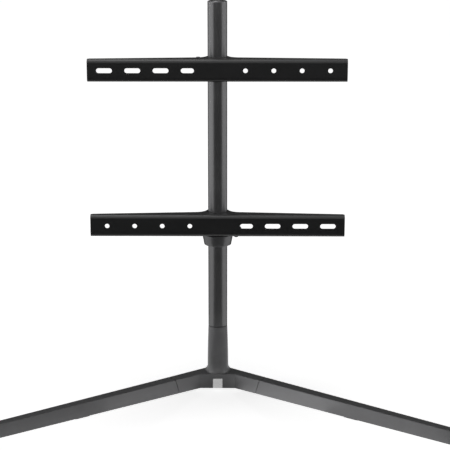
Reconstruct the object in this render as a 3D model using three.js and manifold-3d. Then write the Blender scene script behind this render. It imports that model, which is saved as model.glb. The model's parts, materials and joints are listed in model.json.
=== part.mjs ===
// Table stand for a television: a V of two legs, a swivelling pole, and two
// slotted cross rails that slide on the pole. Millimetres, +Z up. The origin is
// on the floor, on the axis of the pole. The screen faces -Y.

import * as THREE from 'three';
import { mergeVertices } from 'three/addons/utils/BufferGeometryUtils.js';
import Module from 'manifold-3d';

// General fits
const seatGap = 0.3;
const runningGap = 0.1;
const endPlay = 0.3;
const cutOverrun = 2;
const mergeStep = 0.0001;

// Facets of round surfaces
const poleSides = 40;
const journalSides = 24;
const holeSides = 24;
const screwSides = 12;
const hexSides = 6;
const arcSteps = 5;
const bendSteps = 3;

// Overall places, from the floor
const footHeight = 3;
const neckTopHeight = 115.2;
const poleTopHeight = 716;
const lowerRailHeight = 314;
const upperRailHeight = 597;

// Pole
const poleDiameter = 35;
const poleWall = 1.5;
const capSkirtDepth = 15;
const capRimInset = 0.9;
const capDomeHeight = 4.2;
const capDomeSteps = 4;

// Hub casting and its neck
const hubHeight = 27.3;
const facetWidth = 64;
const facetDepth = 35;
const legAngleDeg = 36.25;
const hubSwell = 5;
const edgeChamfer = 1;
const stubTopLength = 55;
const stubBottomLength = 46.3;
const neckStep = 0.1;
const neckRootHalf = 19.2;
const neckRootPower = 3.4;
const neckPoints = 32;
const neckStations = 6;
const rootFilletHeight = 8;
const rootFilletSide = 5;
const rootFilletFront = 14.6;
const rootFilletPower = 2.2;
const rootFilletSteps = 4;

// Swivel bearing inside the neck
const journalRadius = 10;
const bushWall = 2;
const bushFlangeThickness = 1;
const bushFlangeInset = 0.6;
const upperBushLength = 25;
const lowerBushLength = 12;
const webThickness = 10;
const wellDepth = 11;
const wellMargin = 1;
const pilotStep = 3;
const pilotFlatInset = 1;
const plugLength = 42;
const plugRelief = 0.3;
const swivelLimitDeg = 35;
const swivelPlayDeg = 0.7;
const stopWasherRadius = 12.5;
const stopWasherThickness = 2.2;
const stopTabWidth = 3;
const stopTabRadial = 2.6;
const stopTabHeight = 3;
const stopTabInset = 0.6;

// Bare plate on the front of the hub
const plateWidth = 19.6;
const plateHeight = 20;
const plateThickness = 1.2;
const plateSeatDepth = 1;
const plateCorner = 1;

// Legs
const legLength = 500;
const legRootWidth = 22.5;
const legTipWidth = 17;
const legTipHeight = 23.7;
const legTipRound = 2.5;
const legWall = 3.5;
const legRoof = 4;
const tongueLength = 45;
const tongueWall = 4.5;
const tongueRoof = 7.3;
const tongueFloor = 8;
const socketRib = 10;
const midBlockShare = 0.5;
const midBlockLength = 44;
const tipBlockLength = 60;
const tipPadPlace = 26;

// Rubber feet
const padLength = 32;
const padWidth = 10;
const padCorner = 4;
const padSeatDepth = 1.5;
const hubPadLap = 3.7;

// Cross rails
const railLength = 461;
const railHeight = 40.5;
const railSheet = 2.5;
const railBendRadius = 6;
const railEndDepth = 11.8;
const railTaperDepth = 27.1;
const railTaperPlace = 40;
const railEndCorner = 6;
const railLugWall = 2.4;
const railLugFillet = 21;
const railFaceDepth = 35;
const holePitch = 50;
const holesPerSide = 4;
const roundHoleDiameter = 8.4;
const slotLength = 28.2;
const slotWidth = 8.8;
const innerSlotLength = 23.2;
const innerSlotShift = 2.6;

// Clamp block inside each rail
const blockWall = 2.7;
const blockHalfWidth = 30;
const blockRearPlace = 10;
const earHalfWidth = 43;
const earRearPlace = 9;
const earThickness = 10.5;
const sleeveWall = 1.2;
const sleeveLength = 11;
const sleeveFlange = 1.6;
const sleeveFlangeLap = 2.4;
const sleeveRecess = 0.4;
const bossRadius = 9;
const bossLength = 32;
const clampPadThickness = 2;
const railScrewPlaceX = 34;
const railScrewPlaceY = 21.5;

// Collar under the lower rail
const collarHeight = 19.45;
const collarWall = 7;
const collarFlare = 2.3;
const collarWaistHeight = 12.5;
const collarTopFlare = 0.3;
const collarEdge = 1;
const collarScrewHeight = 10;
const collarScrewLength = 6.8;
const collarScrewRadius = 3;

// Screws: radii of the shank, head and key, with the length under the head
const screwLead = 0.5;
const screwTipGap = 1.3;
const keyDepthShare = 0.55;
const legScrew = { shank: 3, length: 12, head: 5, headHeight: 3.4, key: 2.1 };
const legScrewShares = [0.25, 0.73];
const spindleBolt = { shank: 3, length: 16, head: 5.5, headHeight: 4.6, key: 2.6 };
const poleScrew = { shank: 2.5, length: 9, head: 4.6, headHeight: 2.4, key: 1.6 };
const poleScrewShares = [0.33, 0.71];
const railScrew = { shank: 2.2, length: 10, head: 3.9, headHeight: 2.8, key: 1.5 };
const railSunkScrew = { shank: 2.2, length: 11, head: 4, headHeight: 2, key: 1.4 };
const clampScrew = { shank: 4, head: 6.5, headHeight: 6, key: 3.2 };

// Sizes worked out from the ones above
const poleRadius = poleDiameter / 2;
const poleBore = poleRadius - poleWall;
const poleFootHeight = neckTopHeight + bushFlangeThickness + endPlay + seatGap;
const hubTopHeight = footHeight + hubHeight;
const neckTopRadius = poleRadius + neckStep;
const neckBore = journalRadius + runningGap + bushWall + seatGap;
const wellTopHeight = footHeight + wellDepth;
const webTopHeight = wellTopHeight + webThickness;
const wellRadius = stopWasherRadius + wellMargin;
const hubPadRadius = wellRadius + hubPadLap;
const pilotRadius = journalRadius - pilotStep;
const legAngle = THREE.MathUtils.degToRad(legAngleDeg);
const sleeveBore = poleRadius + runningGap;
const sleeveRadius = sleeveBore + sleeveWall;
const sleeveFlangeRadius = sleeveRadius + sleeveFlangeLap;
const blockBore = sleeveRadius + seatGap;
const blockRadius = blockBore + blockWall;
const railLugRadius = blockBore + railLugWall;
const railHalf = railHeight / 2;
const blockHalfHeight = railHalf - railSheet - seatGap;
const collarTopHeight = lowerRailHeight - railHalf - seatGap - sleeveFlange - seatGap;
const collarFootHeight = collarTopHeight - collarHeight;
const collarBore = poleRadius + seatGap;
const collarBottomRadius = collarBore + collarWall;
const collarWaistRadius = collarBottomRadius + collarFlare;
const collarTopRadius = collarWaistRadius + collarTopFlare;
const tongueWidth = legRootWidth - 2 * tongueWall;
const tongueHeight = hubHeight - tongueFloor - tongueRoof;
const legScrewPlaces = legScrewShares.map((share) => stubTopLength + share * tongueLength);
const legScrewSeat = legScrew.headHeight + seatGap;
const midBlockPlace = midBlockShare * legLength;
const poleScrewHeights = poleScrewShares.map((share) => poleFootHeight + share * plugLength);

const wasm = await Module();
wasm.setup();

// Solids and meshes

function solidOf(geometry) {
  const bare = geometry.clone();
  bare.deleteAttribute('normal');
  bare.deleteAttribute('uv');
  const merged = mergeVertices(bare, mergeStep);
  return new wasm.Manifold(new wasm.Mesh({
    numProp: 3,
    vertProperties: Float32Array.from(merged.attributes.position.array),
    triVerts: Uint32Array.from(merged.index.array),
  }));
}

function geometryOf(solid) {
  const mesh = solid.getMesh();
  const geometry = new THREE.BufferGeometry();
  geometry.setAttribute('position', new THREE.BufferAttribute(mesh.vertProperties, 3));
  geometry.setIndex(new THREE.BufferAttribute(mesh.triVerts, 1));
  geometry.computeVertexNormals();
  return geometry;
}

function cylinderZ(radius, bottom, top, sides) {
  const geometry = new THREE.CylinderGeometry(radius, radius, top - bottom, sides);
  geometry.rotateX(Math.PI / 2);
  geometry.translate(0, 0, (top + bottom) / 2);
  return geometry;
}

function cylinderY(radius, front, back, sides) {
  const geometry = new THREE.CylinderGeometry(radius, radius, back - front, sides);
  geometry.translate(0, (back + front) / 2, 0);
  return geometry;
}

function box(low, high) {
  const geometry = new THREE.BoxGeometry(high[0] - low[0], high[1] - low[1], high[2] - low[2]);
  geometry.translate((high[0] + low[0]) / 2, (high[1] + low[1]) / 2, (high[2] + low[2]) / 2);
  return geometry;
}

// An outline in X and Y, extruded from bottom to top.
function prismZ(shape, bottom, top, steps = arcSteps) {
  const geometry = new THREE.ExtrudeGeometry(shape, {
    depth: top - bottom, bevelEnabled: false, curveSegments: steps,
  });
  geometry.translate(0, 0, bottom);
  return geometry;
}

// An outline in X and Z, extruded along Y from front to back.
function prismY(shape, front, back, steps = arcSteps) {
  const geometry = new THREE.ExtrudeGeometry(shape, {
    depth: back - front, bevelEnabled: false, curveSegments: steps,
  });
  geometry.rotateX(Math.PI / 2);
  geometry.translate(0, back, 0);
  return geometry;
}

// An outline in Y and Z, extruded along X from left to right.
function prismX(shape, left, right, steps = arcSteps) {
  const geometry = new THREE.ExtrudeGeometry(shape, {
    depth: right - left, bevelEnabled: false, curveSegments: steps,
  });
  const yAxis = new THREE.Vector3(0, 1, 0);
  const zAxis = new THREE.Vector3(0, 0, 1);
  const xAxis = new THREE.Vector3(1, 0, 0);
  geometry.applyMatrix4(new THREE.Matrix4().makeBasis(yAxis, zAxis, xAxis));
  geometry.translate(left, 0, 0);
  return geometry;
}

// A turned profile of radius and height pairs, from the axis or closed on itself.
function turned(profile, sides) {
  const points = profile.map(([radius, height]) => new THREE.Vector2(radius, height));
  const geometry = new THREE.LatheGeometry(points, sides);
  geometry.rotateX(Math.PI / 2);
  return geometry;
}

function tube(outer, inner, bottom, top, sides) {
  return turned([[inner, bottom], [outer, bottom], [outer, top], [inner, top], [inner, bottom]], sides);
}

// A closed skin over rings that have the same number of points.
function loft(rings) {
  const count = rings[0].length;
  const positions = rings.flat().flatMap((point) => [point.x, point.y, point.z]);
  const faces = [];
  for (let ring = 0; ring + 1 < rings.length; ring += 1) {
    for (let point = 0; point < count; point += 1) {
      const next = (point + 1) % count;
      const here = ring * count;
      const there = here + count;
      faces.push(here + point, here + next, there + next);
      faces.push(here + point, there + next, there + point);
    }
  }
  const last = (rings.length - 1) * count;
  for (let point = 1; point + 1 < count; point += 1) {
    faces.push(0, point + 1, point);
    faces.push(last, last + point, last + point + 1);
  }
  const geometry = new THREE.BufferGeometry();
  geometry.setAttribute('position', new THREE.Float32BufferAttribute(positions, 3));
  geometry.setIndex(faces);
  return geometry;
}

// The mirror image in the plane Y = 0, with its faces still pointing out.
function mirroredY(geometry) {
  const copy = geometry.clone();
  copy.scale(1, -1, 1);
  const faces = copy.index ? Array.from(copy.index.array)
    : Array.from({ length: copy.attributes.position.count }, (_, index) => index);
  for (let corner = 0; corner < faces.length; corner += 3) {
    [faces[corner], faces[corner + 1]] = [faces[corner + 1], faces[corner]];
  }
  copy.setIndex(faces);
  return copy;
}

function roundedRectangle(length, width, corner) {
  const halfLength = length / 2;
  const halfWidth = width / 2;
  const shape = new THREE.Shape();
  shape.absarc(halfLength - corner, halfWidth - corner, corner, 0, Math.PI / 2);
  shape.absarc(corner - halfLength, halfWidth - corner, corner, Math.PI / 2, Math.PI);
  shape.absarc(corner - halfLength, corner - halfWidth, corner, Math.PI, 1.5 * Math.PI);
  shape.absarc(halfLength - corner, corner - halfWidth, corner, 1.5 * Math.PI, 2 * Math.PI);
  return shape;
}

// Screws: the seat under the head is at 0 and the shank points along +Z.

function capScrew(screw, length) {
  const body = turned([
    [0, -screw.headHeight],
    [screw.head - screwLead, -screw.headHeight],
    [screw.head, screwLead - screw.headHeight],
    [screw.head, 0],
    [screw.shank, 0],
    [screw.shank, length - screwLead],
    [screw.shank - screwLead, length],
    [0, length],
  ], screwSides);
  const keyFloor = keyDepthShare * screw.headHeight - screw.headHeight;
  const key = cylinderZ(screw.key, -screw.headHeight - cutOverrun, keyFloor, hexSides);
  return geometryOf(solidOf(body).subtract(solidOf(key)));
}

function sunkScrew(screw) {
  const body = turned([
    [0, 0],
    [screw.head, 0],
    [screw.shank, screw.headHeight],
    [screw.shank, screw.length - screwLead],
    [screw.shank - screwLead, screw.length],
    [0, screw.length],
  ], screwSides);
  const key = cylinderZ(screw.key, -cutOverrun, keyDepthShare * screw.headHeight, hexSides);
  return geometryOf(solidOf(body).subtract(solidOf(key)));
}

// The hole for a sunk screw, clear of it all round.
function sunkHole(screw) {
  const end = screw.length + screwTipGap;
  return turned([
    [0, -cutOverrun],
    [screw.head + seatGap, -cutOverrun],
    [screw.head + seatGap, 0],
    [screw.shank + seatGap, screw.headHeight],
    [screw.shank + seatGap, end],
    [0, end],
  ], screwSides);
}

function grubScrew(radius, length) {
  const body = turned([
    [0, 0],
    [radius, 0],
    [radius, length - screwLead],
    [radius - screwLead, length],
    [0, length],
  ], screwSides);
  const key = cylinderZ(radius / 2, -cutOverrun, keyDepthShare * length, hexSides);
  return geometryOf(solidOf(body).subtract(solidOf(key)));
}

// Legs. In a leg's own frame X runs outward from the corner of the hub's front
// facet, Y runs from the inner face to the outer one, and Z is up from its underside.

const legTaperLength = legLength - stubTopLength;

function legWidthAt(place) {
  const share = Math.max(0, (place - stubTopLength) / legTaperLength);
  return legRootWidth + (legTipWidth - legRootWidth) * share;
}

function legHeightAt(place) {
  const share = Math.max(0, (place - stubTopLength) / legTaperLength);
  return hubHeight + (legTipHeight - hubHeight) * share;
}

function jointPlaceAt(height) {
  return stubBottomLength + (stubTopLength - stubBottomLength) * (height / hubHeight);
}

function legRing(inset, placeAt, place) {
  const width = legWidthAt(place) - inset;
  const height = legHeightAt(place) - inset;
  const corners = [
    [inset, 0],
    [width, 0],
    [width, height - edgeChamfer],
    [width - edgeChamfer, height],
    [inset + edgeChamfer, height],
    [inset, height - edgeChamfer],
  ];
  return corners.map(([y, z]) => new THREE.Vector3(placeAt(z), y, z));
}

function reliefPrism(start, end) {
  const ring = (place) => {
    const width = legWidthAt(place) - legWall;
    const height = legHeightAt(place) - legRoof;
    const corners = [[legWall, -cutOverrun], [width, -cutOverrun], [width, height], [legWall, height]];
    return corners.map(([y, z]) => new THREE.Vector3(place, y, z));
  };
  return loft([ring(start), ring(end)]);
}

function tongueBox(start, clearance) {
  const middle = legRootWidth / 2;
  const half = tongueWidth / 2 + clearance;
  const end = stubTopLength + tongueLength + clearance;
  const low = [start, middle - half, tongueFloor - clearance];
  const high = [end, middle + half, tongueFloor + tongueHeight + clearance];
  return box(low, high);
}

function padSeat(place) {
  const shape = roundedRectangle(padLength + 2 * seatGap, padWidth + 2 * seatGap, padCorner + seatGap);
  const seat = prismZ(shape, -cutOverrun, padSeatDepth);
  seat.translate(place, legWidthAt(place) / 2, 0);
  return seat;
}

const padPlaces = { middle: midBlockPlace, tip: legLength - tipPadPlace };

function legGeometry() {
  const bar = loft([
    legRing(0, (height) => jointPlaceAt(height) + seatGap, stubTopLength),
    legRing(0, () => legLength - legTipRound, legLength - legTipRound),
    legRing(legTipRound / 2, () => legLength, legLength),
  ]);
  const midStart = midBlockPlace - midBlockLength / 2;
  const midEnd = midBlockPlace + midBlockLength / 2;
  let leg = solidOf(bar)
    .subtract(solidOf(tongueBox(stubBottomLength - cutOverrun, seatGap)))
    .subtract(solidOf(reliefPrism(stubTopLength + tongueLength + socketRib, midStart)))
    .subtract(solidOf(reliefPrism(midEnd, legLength - tipBlockLength)));
  for (const place of Object.values(padPlaces)) leg = leg.subtract(solidOf(padSeat(place)));
  for (const place of legScrewPlaces) {
    const shaft = cylinderZ(legScrew.shank + seatGap, -cutOverrun, tongueFloor, screwSides);
    const head = cylinderZ(legScrew.head + seatGap, -cutOverrun, legScrewSeat + seatGap, screwSides);
    for (const hole of [shaft, head]) {
      hole.translate(place, legRootWidth / 2, 0);
      leg = leg.subtract(solidOf(hole));
    }
  }
  return geometryOf(leg);
}

function padGeometry() {
  const shape = roundedRectangle(padLength, padWidth, padCorner);
  return prismZ(shape, -footHeight, padSeatDepth - seatGap);
}

// Hub casting

// The V seen from above, with stub arms that run past the leg joints. Its rear
// edges swell out a little towards the neck.
function hubOutline(inset) {
  const along = new THREE.Vector2(Math.cos(legAngle), -Math.sin(legAngle));
  const across = new THREE.Vector2(Math.sin(legAngle), Math.cos(legAngle));
  const cornerX = facetWidth / 2 + inset * Math.tan(legAngle / 2);
  const corner = new THREE.Vector2(cornerX, inset - facetDepth);
  const innerEnd = corner.clone().addScaledVector(along, stubTopLength + cutOverrun);
  const outerEnd = innerEnd.clone().addScaledVector(across, legRootWidth - 2 * inset);
  const shape = new THREE.Shape();
  shape.moveTo(-corner.x, corner.y);
  shape.lineTo(corner.x, corner.y);
  shape.lineTo(innerEnd.x, innerEnd.y);
  shape.lineTo(outerEnd.x, outerEnd.y);
  shape.lineTo(0, outerEnd.y + outerEnd.x * Math.tan(legAngle) + hubSwell);
  shape.lineTo(-outerEnd.x, outerEnd.y);
  shape.lineTo(-innerEnd.x, innerEnd.y);
  shape.closePath();
  return shape;
}

// The V's prism, with its upper edges chamfered.
function hubBody() {
  const blank = new THREE.ExtrudeGeometry(hubOutline(0), {
    depth: hubHeight,
    bevelEnabled: true,
    bevelThickness: edgeChamfer,
    bevelSize: edgeChamfer,
    bevelOffset: -edgeChamfer,
    bevelSegments: 1,
  });
  blank.translate(0, 0, footHeight - edgeChamfer);
  const reach = facetWidth + legLength;
  const below = box([-reach, -reach, -reach], [reach, reach, footHeight]);
  return solidOf(blank).subtract(solidOf(below));
}

// A ring of the neck. The fillet's growth widens it at the sides and the front.
function neckRing(height, half, power, growth) {
  const points = [];
  for (let step = 0; step < neckPoints; step += 1) {
    const angle = (2 * Math.PI * step) / neckPoints;
    const cosine = Math.cos(angle);
    const sine = Math.sin(angle);
    const frontGrowth = sine < 0 ? growth : 0;
    const bend = 2 / (power + (rootFilletPower - power) * frontGrowth);
    const x = Math.sign(cosine) * Math.abs(cosine) ** bend * (half + rootFilletSide * growth);
    const y = Math.sign(sine) * Math.abs(sine) ** bend * (half + rootFilletFront * frontGrowth);
    points.push(new THREE.Vector3(x, y, height));
  }
  return points;
}

// Round at the top and a soft square at the root, which runs down behind the V.
// The fillet lands on the V's flat top.
function neckBody() {
  const rings = [];
  const filletTop = hubTopHeight + rootFilletHeight;
  const span = neckTopHeight - hubTopHeight;
  const ringAt = (height, growth) => {
    const share = Math.min(1, (neckTopHeight - height) / span);
    const half = neckTopRadius + (neckRootHalf - neckTopRadius) * Math.sin((Math.PI / 2) * share);
    return neckRing(height, half, 2 + (neckRootPower - 2) * share, growth);
  };
  rings.push(ringAt(footHeight, 1));
  for (let step = 0; step < rootFilletSteps; step += 1) {
    const angle = (Math.PI / 2) * (step / rootFilletSteps);
    const height = hubTopHeight + rootFilletHeight * (1 - Math.cos(angle));
    rings.push(ringAt(height, 1 - Math.sin(angle)));
  }
  for (let station = 0; station <= neckStations; station += 1) {
    rings.push(ringAt(filletTop + (neckTopHeight - filletTop) * (station / neckStations), 0));
  }
  const clipTop = neckTopHeight + cutOverrun;
  const overV = solidOf(prismZ(hubOutline(edgeChamfer), footHeight, clipTop));
  const rootEnds = [footHeight, clipTop].map((end) => neckRing(end, neckRootHalf, neckRootPower, 0));
  return solidOf(loft(rings)).intersect(overV.add(solidOf(loft(rootEnds))));
}

function legFrame(side) {
  const turn = side > 0 ? -legAngle : Math.PI + legAngle;
  const matrix = new THREE.Matrix4().makeRotationZ(turn);
  matrix.setPosition((side * facetWidth) / 2, -facetDepth, footHeight);
  return matrix;
}

function onSide(geometry, side) {
  const placed = side > 0 ? geometry.clone() : mirroredY(geometry);
  placed.applyMatrix4(legFrame(side));
  return placed;
}

function stubEndCut() {
  const low = -cutOverrun;
  const high = hubHeight + cutOverrun;
  const reach = 2 * stubTopLength;
  const shape = new THREE.Shape();
  shape.moveTo(jointPlaceAt(low), low);
  shape.lineTo(reach, low);
  shape.lineTo(reach, high);
  shape.lineTo(jointPlaceAt(high), high);
  shape.closePath();
  return prismY(shape, -cutOverrun, legRootWidth + cutOverrun);
}

const stopTabOuter = stopWasherRadius - stopTabInset;
const stopTabInner = stopTabOuter - stopTabRadial;

// The arc in the web's underside that the stop tab runs in.
function stopGroove() {
  const tabHalf = Math.asin(stopTabWidth / 2 / stopTabInner);
  const half = THREE.MathUtils.degToRad(swivelLimitDeg + swivelPlayDeg) + tabHalf;
  const middle = Math.PI / 2;
  const shape = new THREE.Shape();
  shape.absarc(0, 0, stopTabOuter + seatGap, middle - half, middle + half);
  shape.absarc(0, 0, stopTabInner - seatGap, middle + half, middle - half, true);
  shape.closePath();
  return prismZ(shape, wellTopHeight - cutOverrun, wellTopHeight + stopTabHeight + seatGap, 2 * arcSteps);
}

const plateSeatPlace = -facetDepth + plateSeatDepth;

function hubGeometry() {
  let hub = hubBody();
  for (const side of [-1, 1]) hub = hub.subtract(solidOf(onSide(stubEndCut(), side)));
  hub = hub.add(neckBody());
  for (const side of [-1, 1]) {
    hub = hub.add(solidOf(onSide(tongueBox(stubBottomLength - cutOverrun, 0), side)));
    for (const place of legScrewPlaces) {
      const top = legScrewSeat + legScrew.length + screwTipGap;
      const hole = cylinderZ(legScrew.shank + seatGap, tongueFloor - cutOverrun, top, screwSides);
      hole.translate(place, legRootWidth / 2, 0);
      hub = hub.subtract(solidOf(onSide(hole, side)));
    }
  }
  const seatHalf = plateWidth / 2 + seatGap;
  const cuts = [
    cylinderZ(neckBore, webTopHeight, neckTopHeight + cutOverrun, journalSides),
    cylinderZ(pilotRadius + seatGap, footHeight, webTopHeight + cutOverrun, journalSides),
    cylinderZ(wellRadius, footHeight - cutOverrun, wellTopHeight, journalSides),
    cylinderZ(hubPadRadius + seatGap, footHeight - cutOverrun, footHeight + padSeatDepth, poleSides),
    stopGroove(),
    box([-seatHalf, -facetDepth - cutOverrun, footHeight - cutOverrun],
      [seatHalf, plateSeatPlace, footHeight + seatGap + plateHeight + seatGap]),
  ];
  for (const cut of cuts) hub = hub.subtract(solidOf(cut));
  return geometryOf(hub);
}

function plateGeometry() {
  const back = plateSeatPlace - seatGap;
  const shape = roundedRectangle(plateWidth, plateHeight, plateCorner);
  const plate = prismY(shape, back - plateThickness, back, bendSteps);
  plate.translate(0, 0, footHeight + seatGap + plateHeight / 2);
  return plate;
}

// Swivel bushes, spindle and stop

const bushBore = journalRadius + runningGap;

function upperBushGeometry() {
  const sleeve = bushBore + bushWall;
  const under = neckTopHeight + seatGap;
  const flangeRadius = neckTopRadius - bushFlangeInset;
  const foot = neckTopHeight - upperBushLength;
  const top = under + bushFlangeThickness;
  return turned([
    [bushBore, foot], [sleeve, foot], [sleeve, under], [flangeRadius, under],
    [flangeRadius, top], [bushBore, top], [bushBore, foot],
  ], journalSides);
}

function lowerBushGeometry() {
  const foot = webTopHeight + seatGap;
  return tube(bushBore + bushWall, bushBore, foot, foot + lowerBushLength, journalSides);
}

const stopWasherFoot = wellTopHeight - endPlay - stopWasherThickness;
const pilotFootHeight = stopWasherFoot + seatGap;

function spindleGeometry() {
  const plugRadius = poleBore - plugRelief;
  const plugFoot = poleFootHeight;
  const body = turned([
    [0, pilotFootHeight],
    [pilotRadius, pilotFootHeight],
    [pilotRadius, webTopHeight + seatGap],
    [journalRadius, webTopHeight + seatGap],
    [journalRadius, plugFoot],
    [plugRadius, plugFoot],
    [plugRadius, plugFoot + plugLength],
    [0, plugFoot + plugLength],
  ], journalSides);
  let spindle = solidOf(body);
  const flat = pilotRadius - pilotFlatInset;
  const flatTop = wellTopHeight;
  const low = pilotFootHeight - cutOverrun;
  for (const side of [-1, 1]) {
    const edges = [side * flat, side * (pilotRadius + cutOverrun)].sort((a, b) => a - b);
    const cut = box([edges[0], -2 * pilotRadius, low], [edges[1], 2 * pilotRadius, flatTop]);
    spindle = spindle.subtract(solidOf(cut));
  }
  const holeTop = stopWasherFoot - seatGap + spindleBolt.length + screwTipGap;
  const hole = cylinderZ(spindleBolt.shank + seatGap, low, holeTop, screwSides);
  spindle = spindle.subtract(solidOf(hole));
  for (const height of poleScrewHeights) {
    const front = poleRadius + seatGap - poleScrew.length - screwTipGap;
    const cut = cylinderY(poleScrew.shank + seatGap, front, poleRadius + cutOverrun, screwSides);
    cut.translate(0, 0, height);
    spindle = spindle.subtract(solidOf(cut));
  }
  return geometryOf(spindle);
}

function stopWasherGeometry() {
  const top = stopWasherFoot + stopWasherThickness;
  const disc = solidOf(cylinderZ(stopWasherRadius, stopWasherFoot, top, journalSides));
  const flat = pilotRadius - pilotFlatInset + seatGap;
  const reach = 2 * pilotRadius;
  const holeLow = stopWasherFoot - cutOverrun;
  const holeHigh = top + cutOverrun;
  const round = solidOf(cylinderZ(pilotRadius + seatGap, holeLow, holeHigh, journalSides));
  const keyed = round.intersect(solidOf(box([-flat, -reach, holeLow], [flat, reach, holeHigh])));
  const tabHalf = stopTabWidth / 2;
  const tabTop = wellTopHeight + stopTabHeight - endPlay;
  const tab = box([-tabHalf, stopTabInner, stopWasherFoot], [tabHalf, stopTabOuter, tabTop]);
  return geometryOf(disc.add(solidOf(tab)).subtract(keyed));
}

// Pole and its cap

function poleGeometry() {
  let pole = solidOf(tube(poleRadius, poleBore, poleFootHeight, poleTopHeight, poleSides));
  for (const height of poleScrewHeights) {
    const back = poleRadius + cutOverrun;
    const hole = cylinderY(poleScrew.shank + seatGap, poleBore / 2, back, screwSides);
    hole.translate(0, 0, height);
    pole = pole.subtract(solidOf(hole));
  }
  return geometryOf(pole);
}

function capGeometry() {
  const skirt = poleBore - seatGap;
  const rim = poleRadius - capRimInset;
  const seat = poleTopHeight + seatGap;
  const profile = [
    [0, poleTopHeight - capSkirtDepth],
    [skirt, poleTopHeight - capSkirtDepth],
    [skirt, seat],
  ];
  const sphere = (rim ** 2 + capDomeHeight ** 2) / (2 * capDomeHeight);
  const spread = Math.asin(rim / sphere);
  for (let step = 0; step <= capDomeSteps; step += 1) {
    const angle = spread * (1 - step / capDomeSteps);
    const height = sphere * (Math.cos(angle) - Math.cos(spread));
    profile.push([step === capDomeSteps ? 0 : sphere * Math.sin(angle), seat + height]);
  }
  return turned(profile, poleSides);
}

// Cross rails. A rail's own frame has its origin on the pole's axis, at the
// height of its row of holes.

// The outline seen from above: tapered wings, and a lug round the pole.
function railOutline() {
  const face = -railFaceDepth;
  const half = railLength / 2;
  const run = half - railTaperPlace;
  const taper = new THREE.Vector2(-run, railTaperDepth - railEndDepth).normalize();
  const normal = new THREE.Vector2(taper.y, -taper.x);
  const end = new THREE.Vector2(half, face + railEndDepth);
  // The end corner's arc touches the end edge and the taper line.
  const corner = new THREE.Vector2(half - railEndCorner, 0);
  corner.y = end.y + (-railEndCorner - (corner.x - end.x) * normal.x) / normal.y;
  // The fillet's arc touches the taper line and the lug.
  const offset = end.dot(normal) + railLugFillet;
  const reach = railLugRadius + railLugFillet;
  const along = Math.sqrt(reach ** 2 - offset ** 2);
  const fillet = normal.clone().multiplyScalar(offset).addScaledVector(taper, -along);
  const wing = Math.atan2(-normal.y, -normal.x);
  const toLug = Math.atan2(-fillet.y, -fillet.x);
  const lug = Math.atan2(fillet.y, fillet.x);
  const shape = new THREE.Shape();
  shape.moveTo(-half, face - cutOverrun);
  shape.lineTo(half, face - cutOverrun);
  shape.absarc(corner.x, corner.y, railEndCorner, 0, Math.atan2(normal.y, normal.x));
  shape.absarc(fillet.x, fillet.y, railLugFillet, wing, toLug, true);
  shape.absarc(0, 0, railLugRadius, lug, Math.PI - lug);
  shape.absarc(-fillet.x, fillet.y, railLugFillet, Math.PI - toLug, Math.PI - wing, true);
  shape.absarc(-corner.x, corner.y, railEndCorner, Math.PI - Math.atan2(normal.y, normal.x), Math.PI);
  shape.closePath();
  return shape;
}

// The folded section: a flat face and two flanges that point back.
function railSection() {
  const face = -railFaceDepth;
  const back = railLugRadius + cutOverrun;
  const outer = railBendRadius;
  const inner = railBendRadius - railSheet;
  const lip = railHalf - railSheet;
  const shape = new THREE.Shape();
  shape.moveTo(back, -railHalf);
  shape.lineTo(back, -lip);
  shape.absarc(face + outer, outer - railHalf, inner, 1.5 * Math.PI, Math.PI, true);
  shape.absarc(face + outer, railHalf - outer, inner, Math.PI, Math.PI / 2, true);
  shape.lineTo(back, lip);
  shape.lineTo(back, railHalf);
  shape.absarc(face + outer, railHalf - outer, outer, Math.PI / 2, Math.PI);
  shape.absarc(face + outer, outer - railHalf, outer, Math.PI, 1.5 * Math.PI);
  shape.closePath();
  return shape;
}

function slotShape(length, width) {
  const radius = width / 2;
  const half = length / 2 - radius;
  const shape = new THREE.Shape();
  shape.absarc(half, 0, radius, -Math.PI / 2, Math.PI / 2);
  shape.absarc(-half, 0, radius, Math.PI / 2, 1.5 * Math.PI);
  shape.closePath();
  return shape;
}

// The block's two screws: one with a raised head at the top left, one sunk at the
// bottom right. Their holes run through the rail into the block.
function railScrewHoles() {
  const tip = railHalf + seatGap - railScrew.length - screwTipGap;
  const raised = cylinderZ(railScrew.shank + seatGap, tip, railHalf + cutOverrun, screwSides);
  raised.translate(-railScrewPlaceX, -railScrewPlaceY, 0);
  const sunk = sunkHole(railSunkScrew);
  sunk.translate(railScrewPlaceX, -railScrewPlaceY, -railHalf);
  return [solidOf(raised), solidOf(sunk)];
}

// Slots on the left and round holes on the right.
function railGeometry() {
  const half = railLength / 2;
  const front = -railFaceDepth - cutOverrun;
  const back = railSheet + cutOverrun - railFaceDepth;
  let rail = solidOf(prismX(railSection(), -half - cutOverrun, half + cutOverrun, bendSteps));
  rail = rail.intersect(solidOf(prismZ(railOutline(), -railHeight, railHeight)));
  const bore = cylinderZ(blockBore, -railHeight, railHeight, poleSides);
  rail = rail.subtract(solidOf(bore));
  for (let hole = 1; hole <= holesPerSide; hole += 1) {
    const round = cylinderY(roundHoleDiameter / 2, front, back, holeSides);
    round.translate(hole * holePitch, 0, 0);
    const place = hole === 1 ? holePitch + innerSlotShift : hole * holePitch;
    const slot = prismY(slotShape(hole === 1 ? innerSlotLength : slotLength, slotWidth), front, back);
    slot.translate(-place, 0, 0);
    rail = rail.subtract(solidOf(round)).subtract(solidOf(slot));
  }
  for (const hole of railScrewHoles()) rail = rail.subtract(hole);
  return geometryOf(rail);
}

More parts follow.
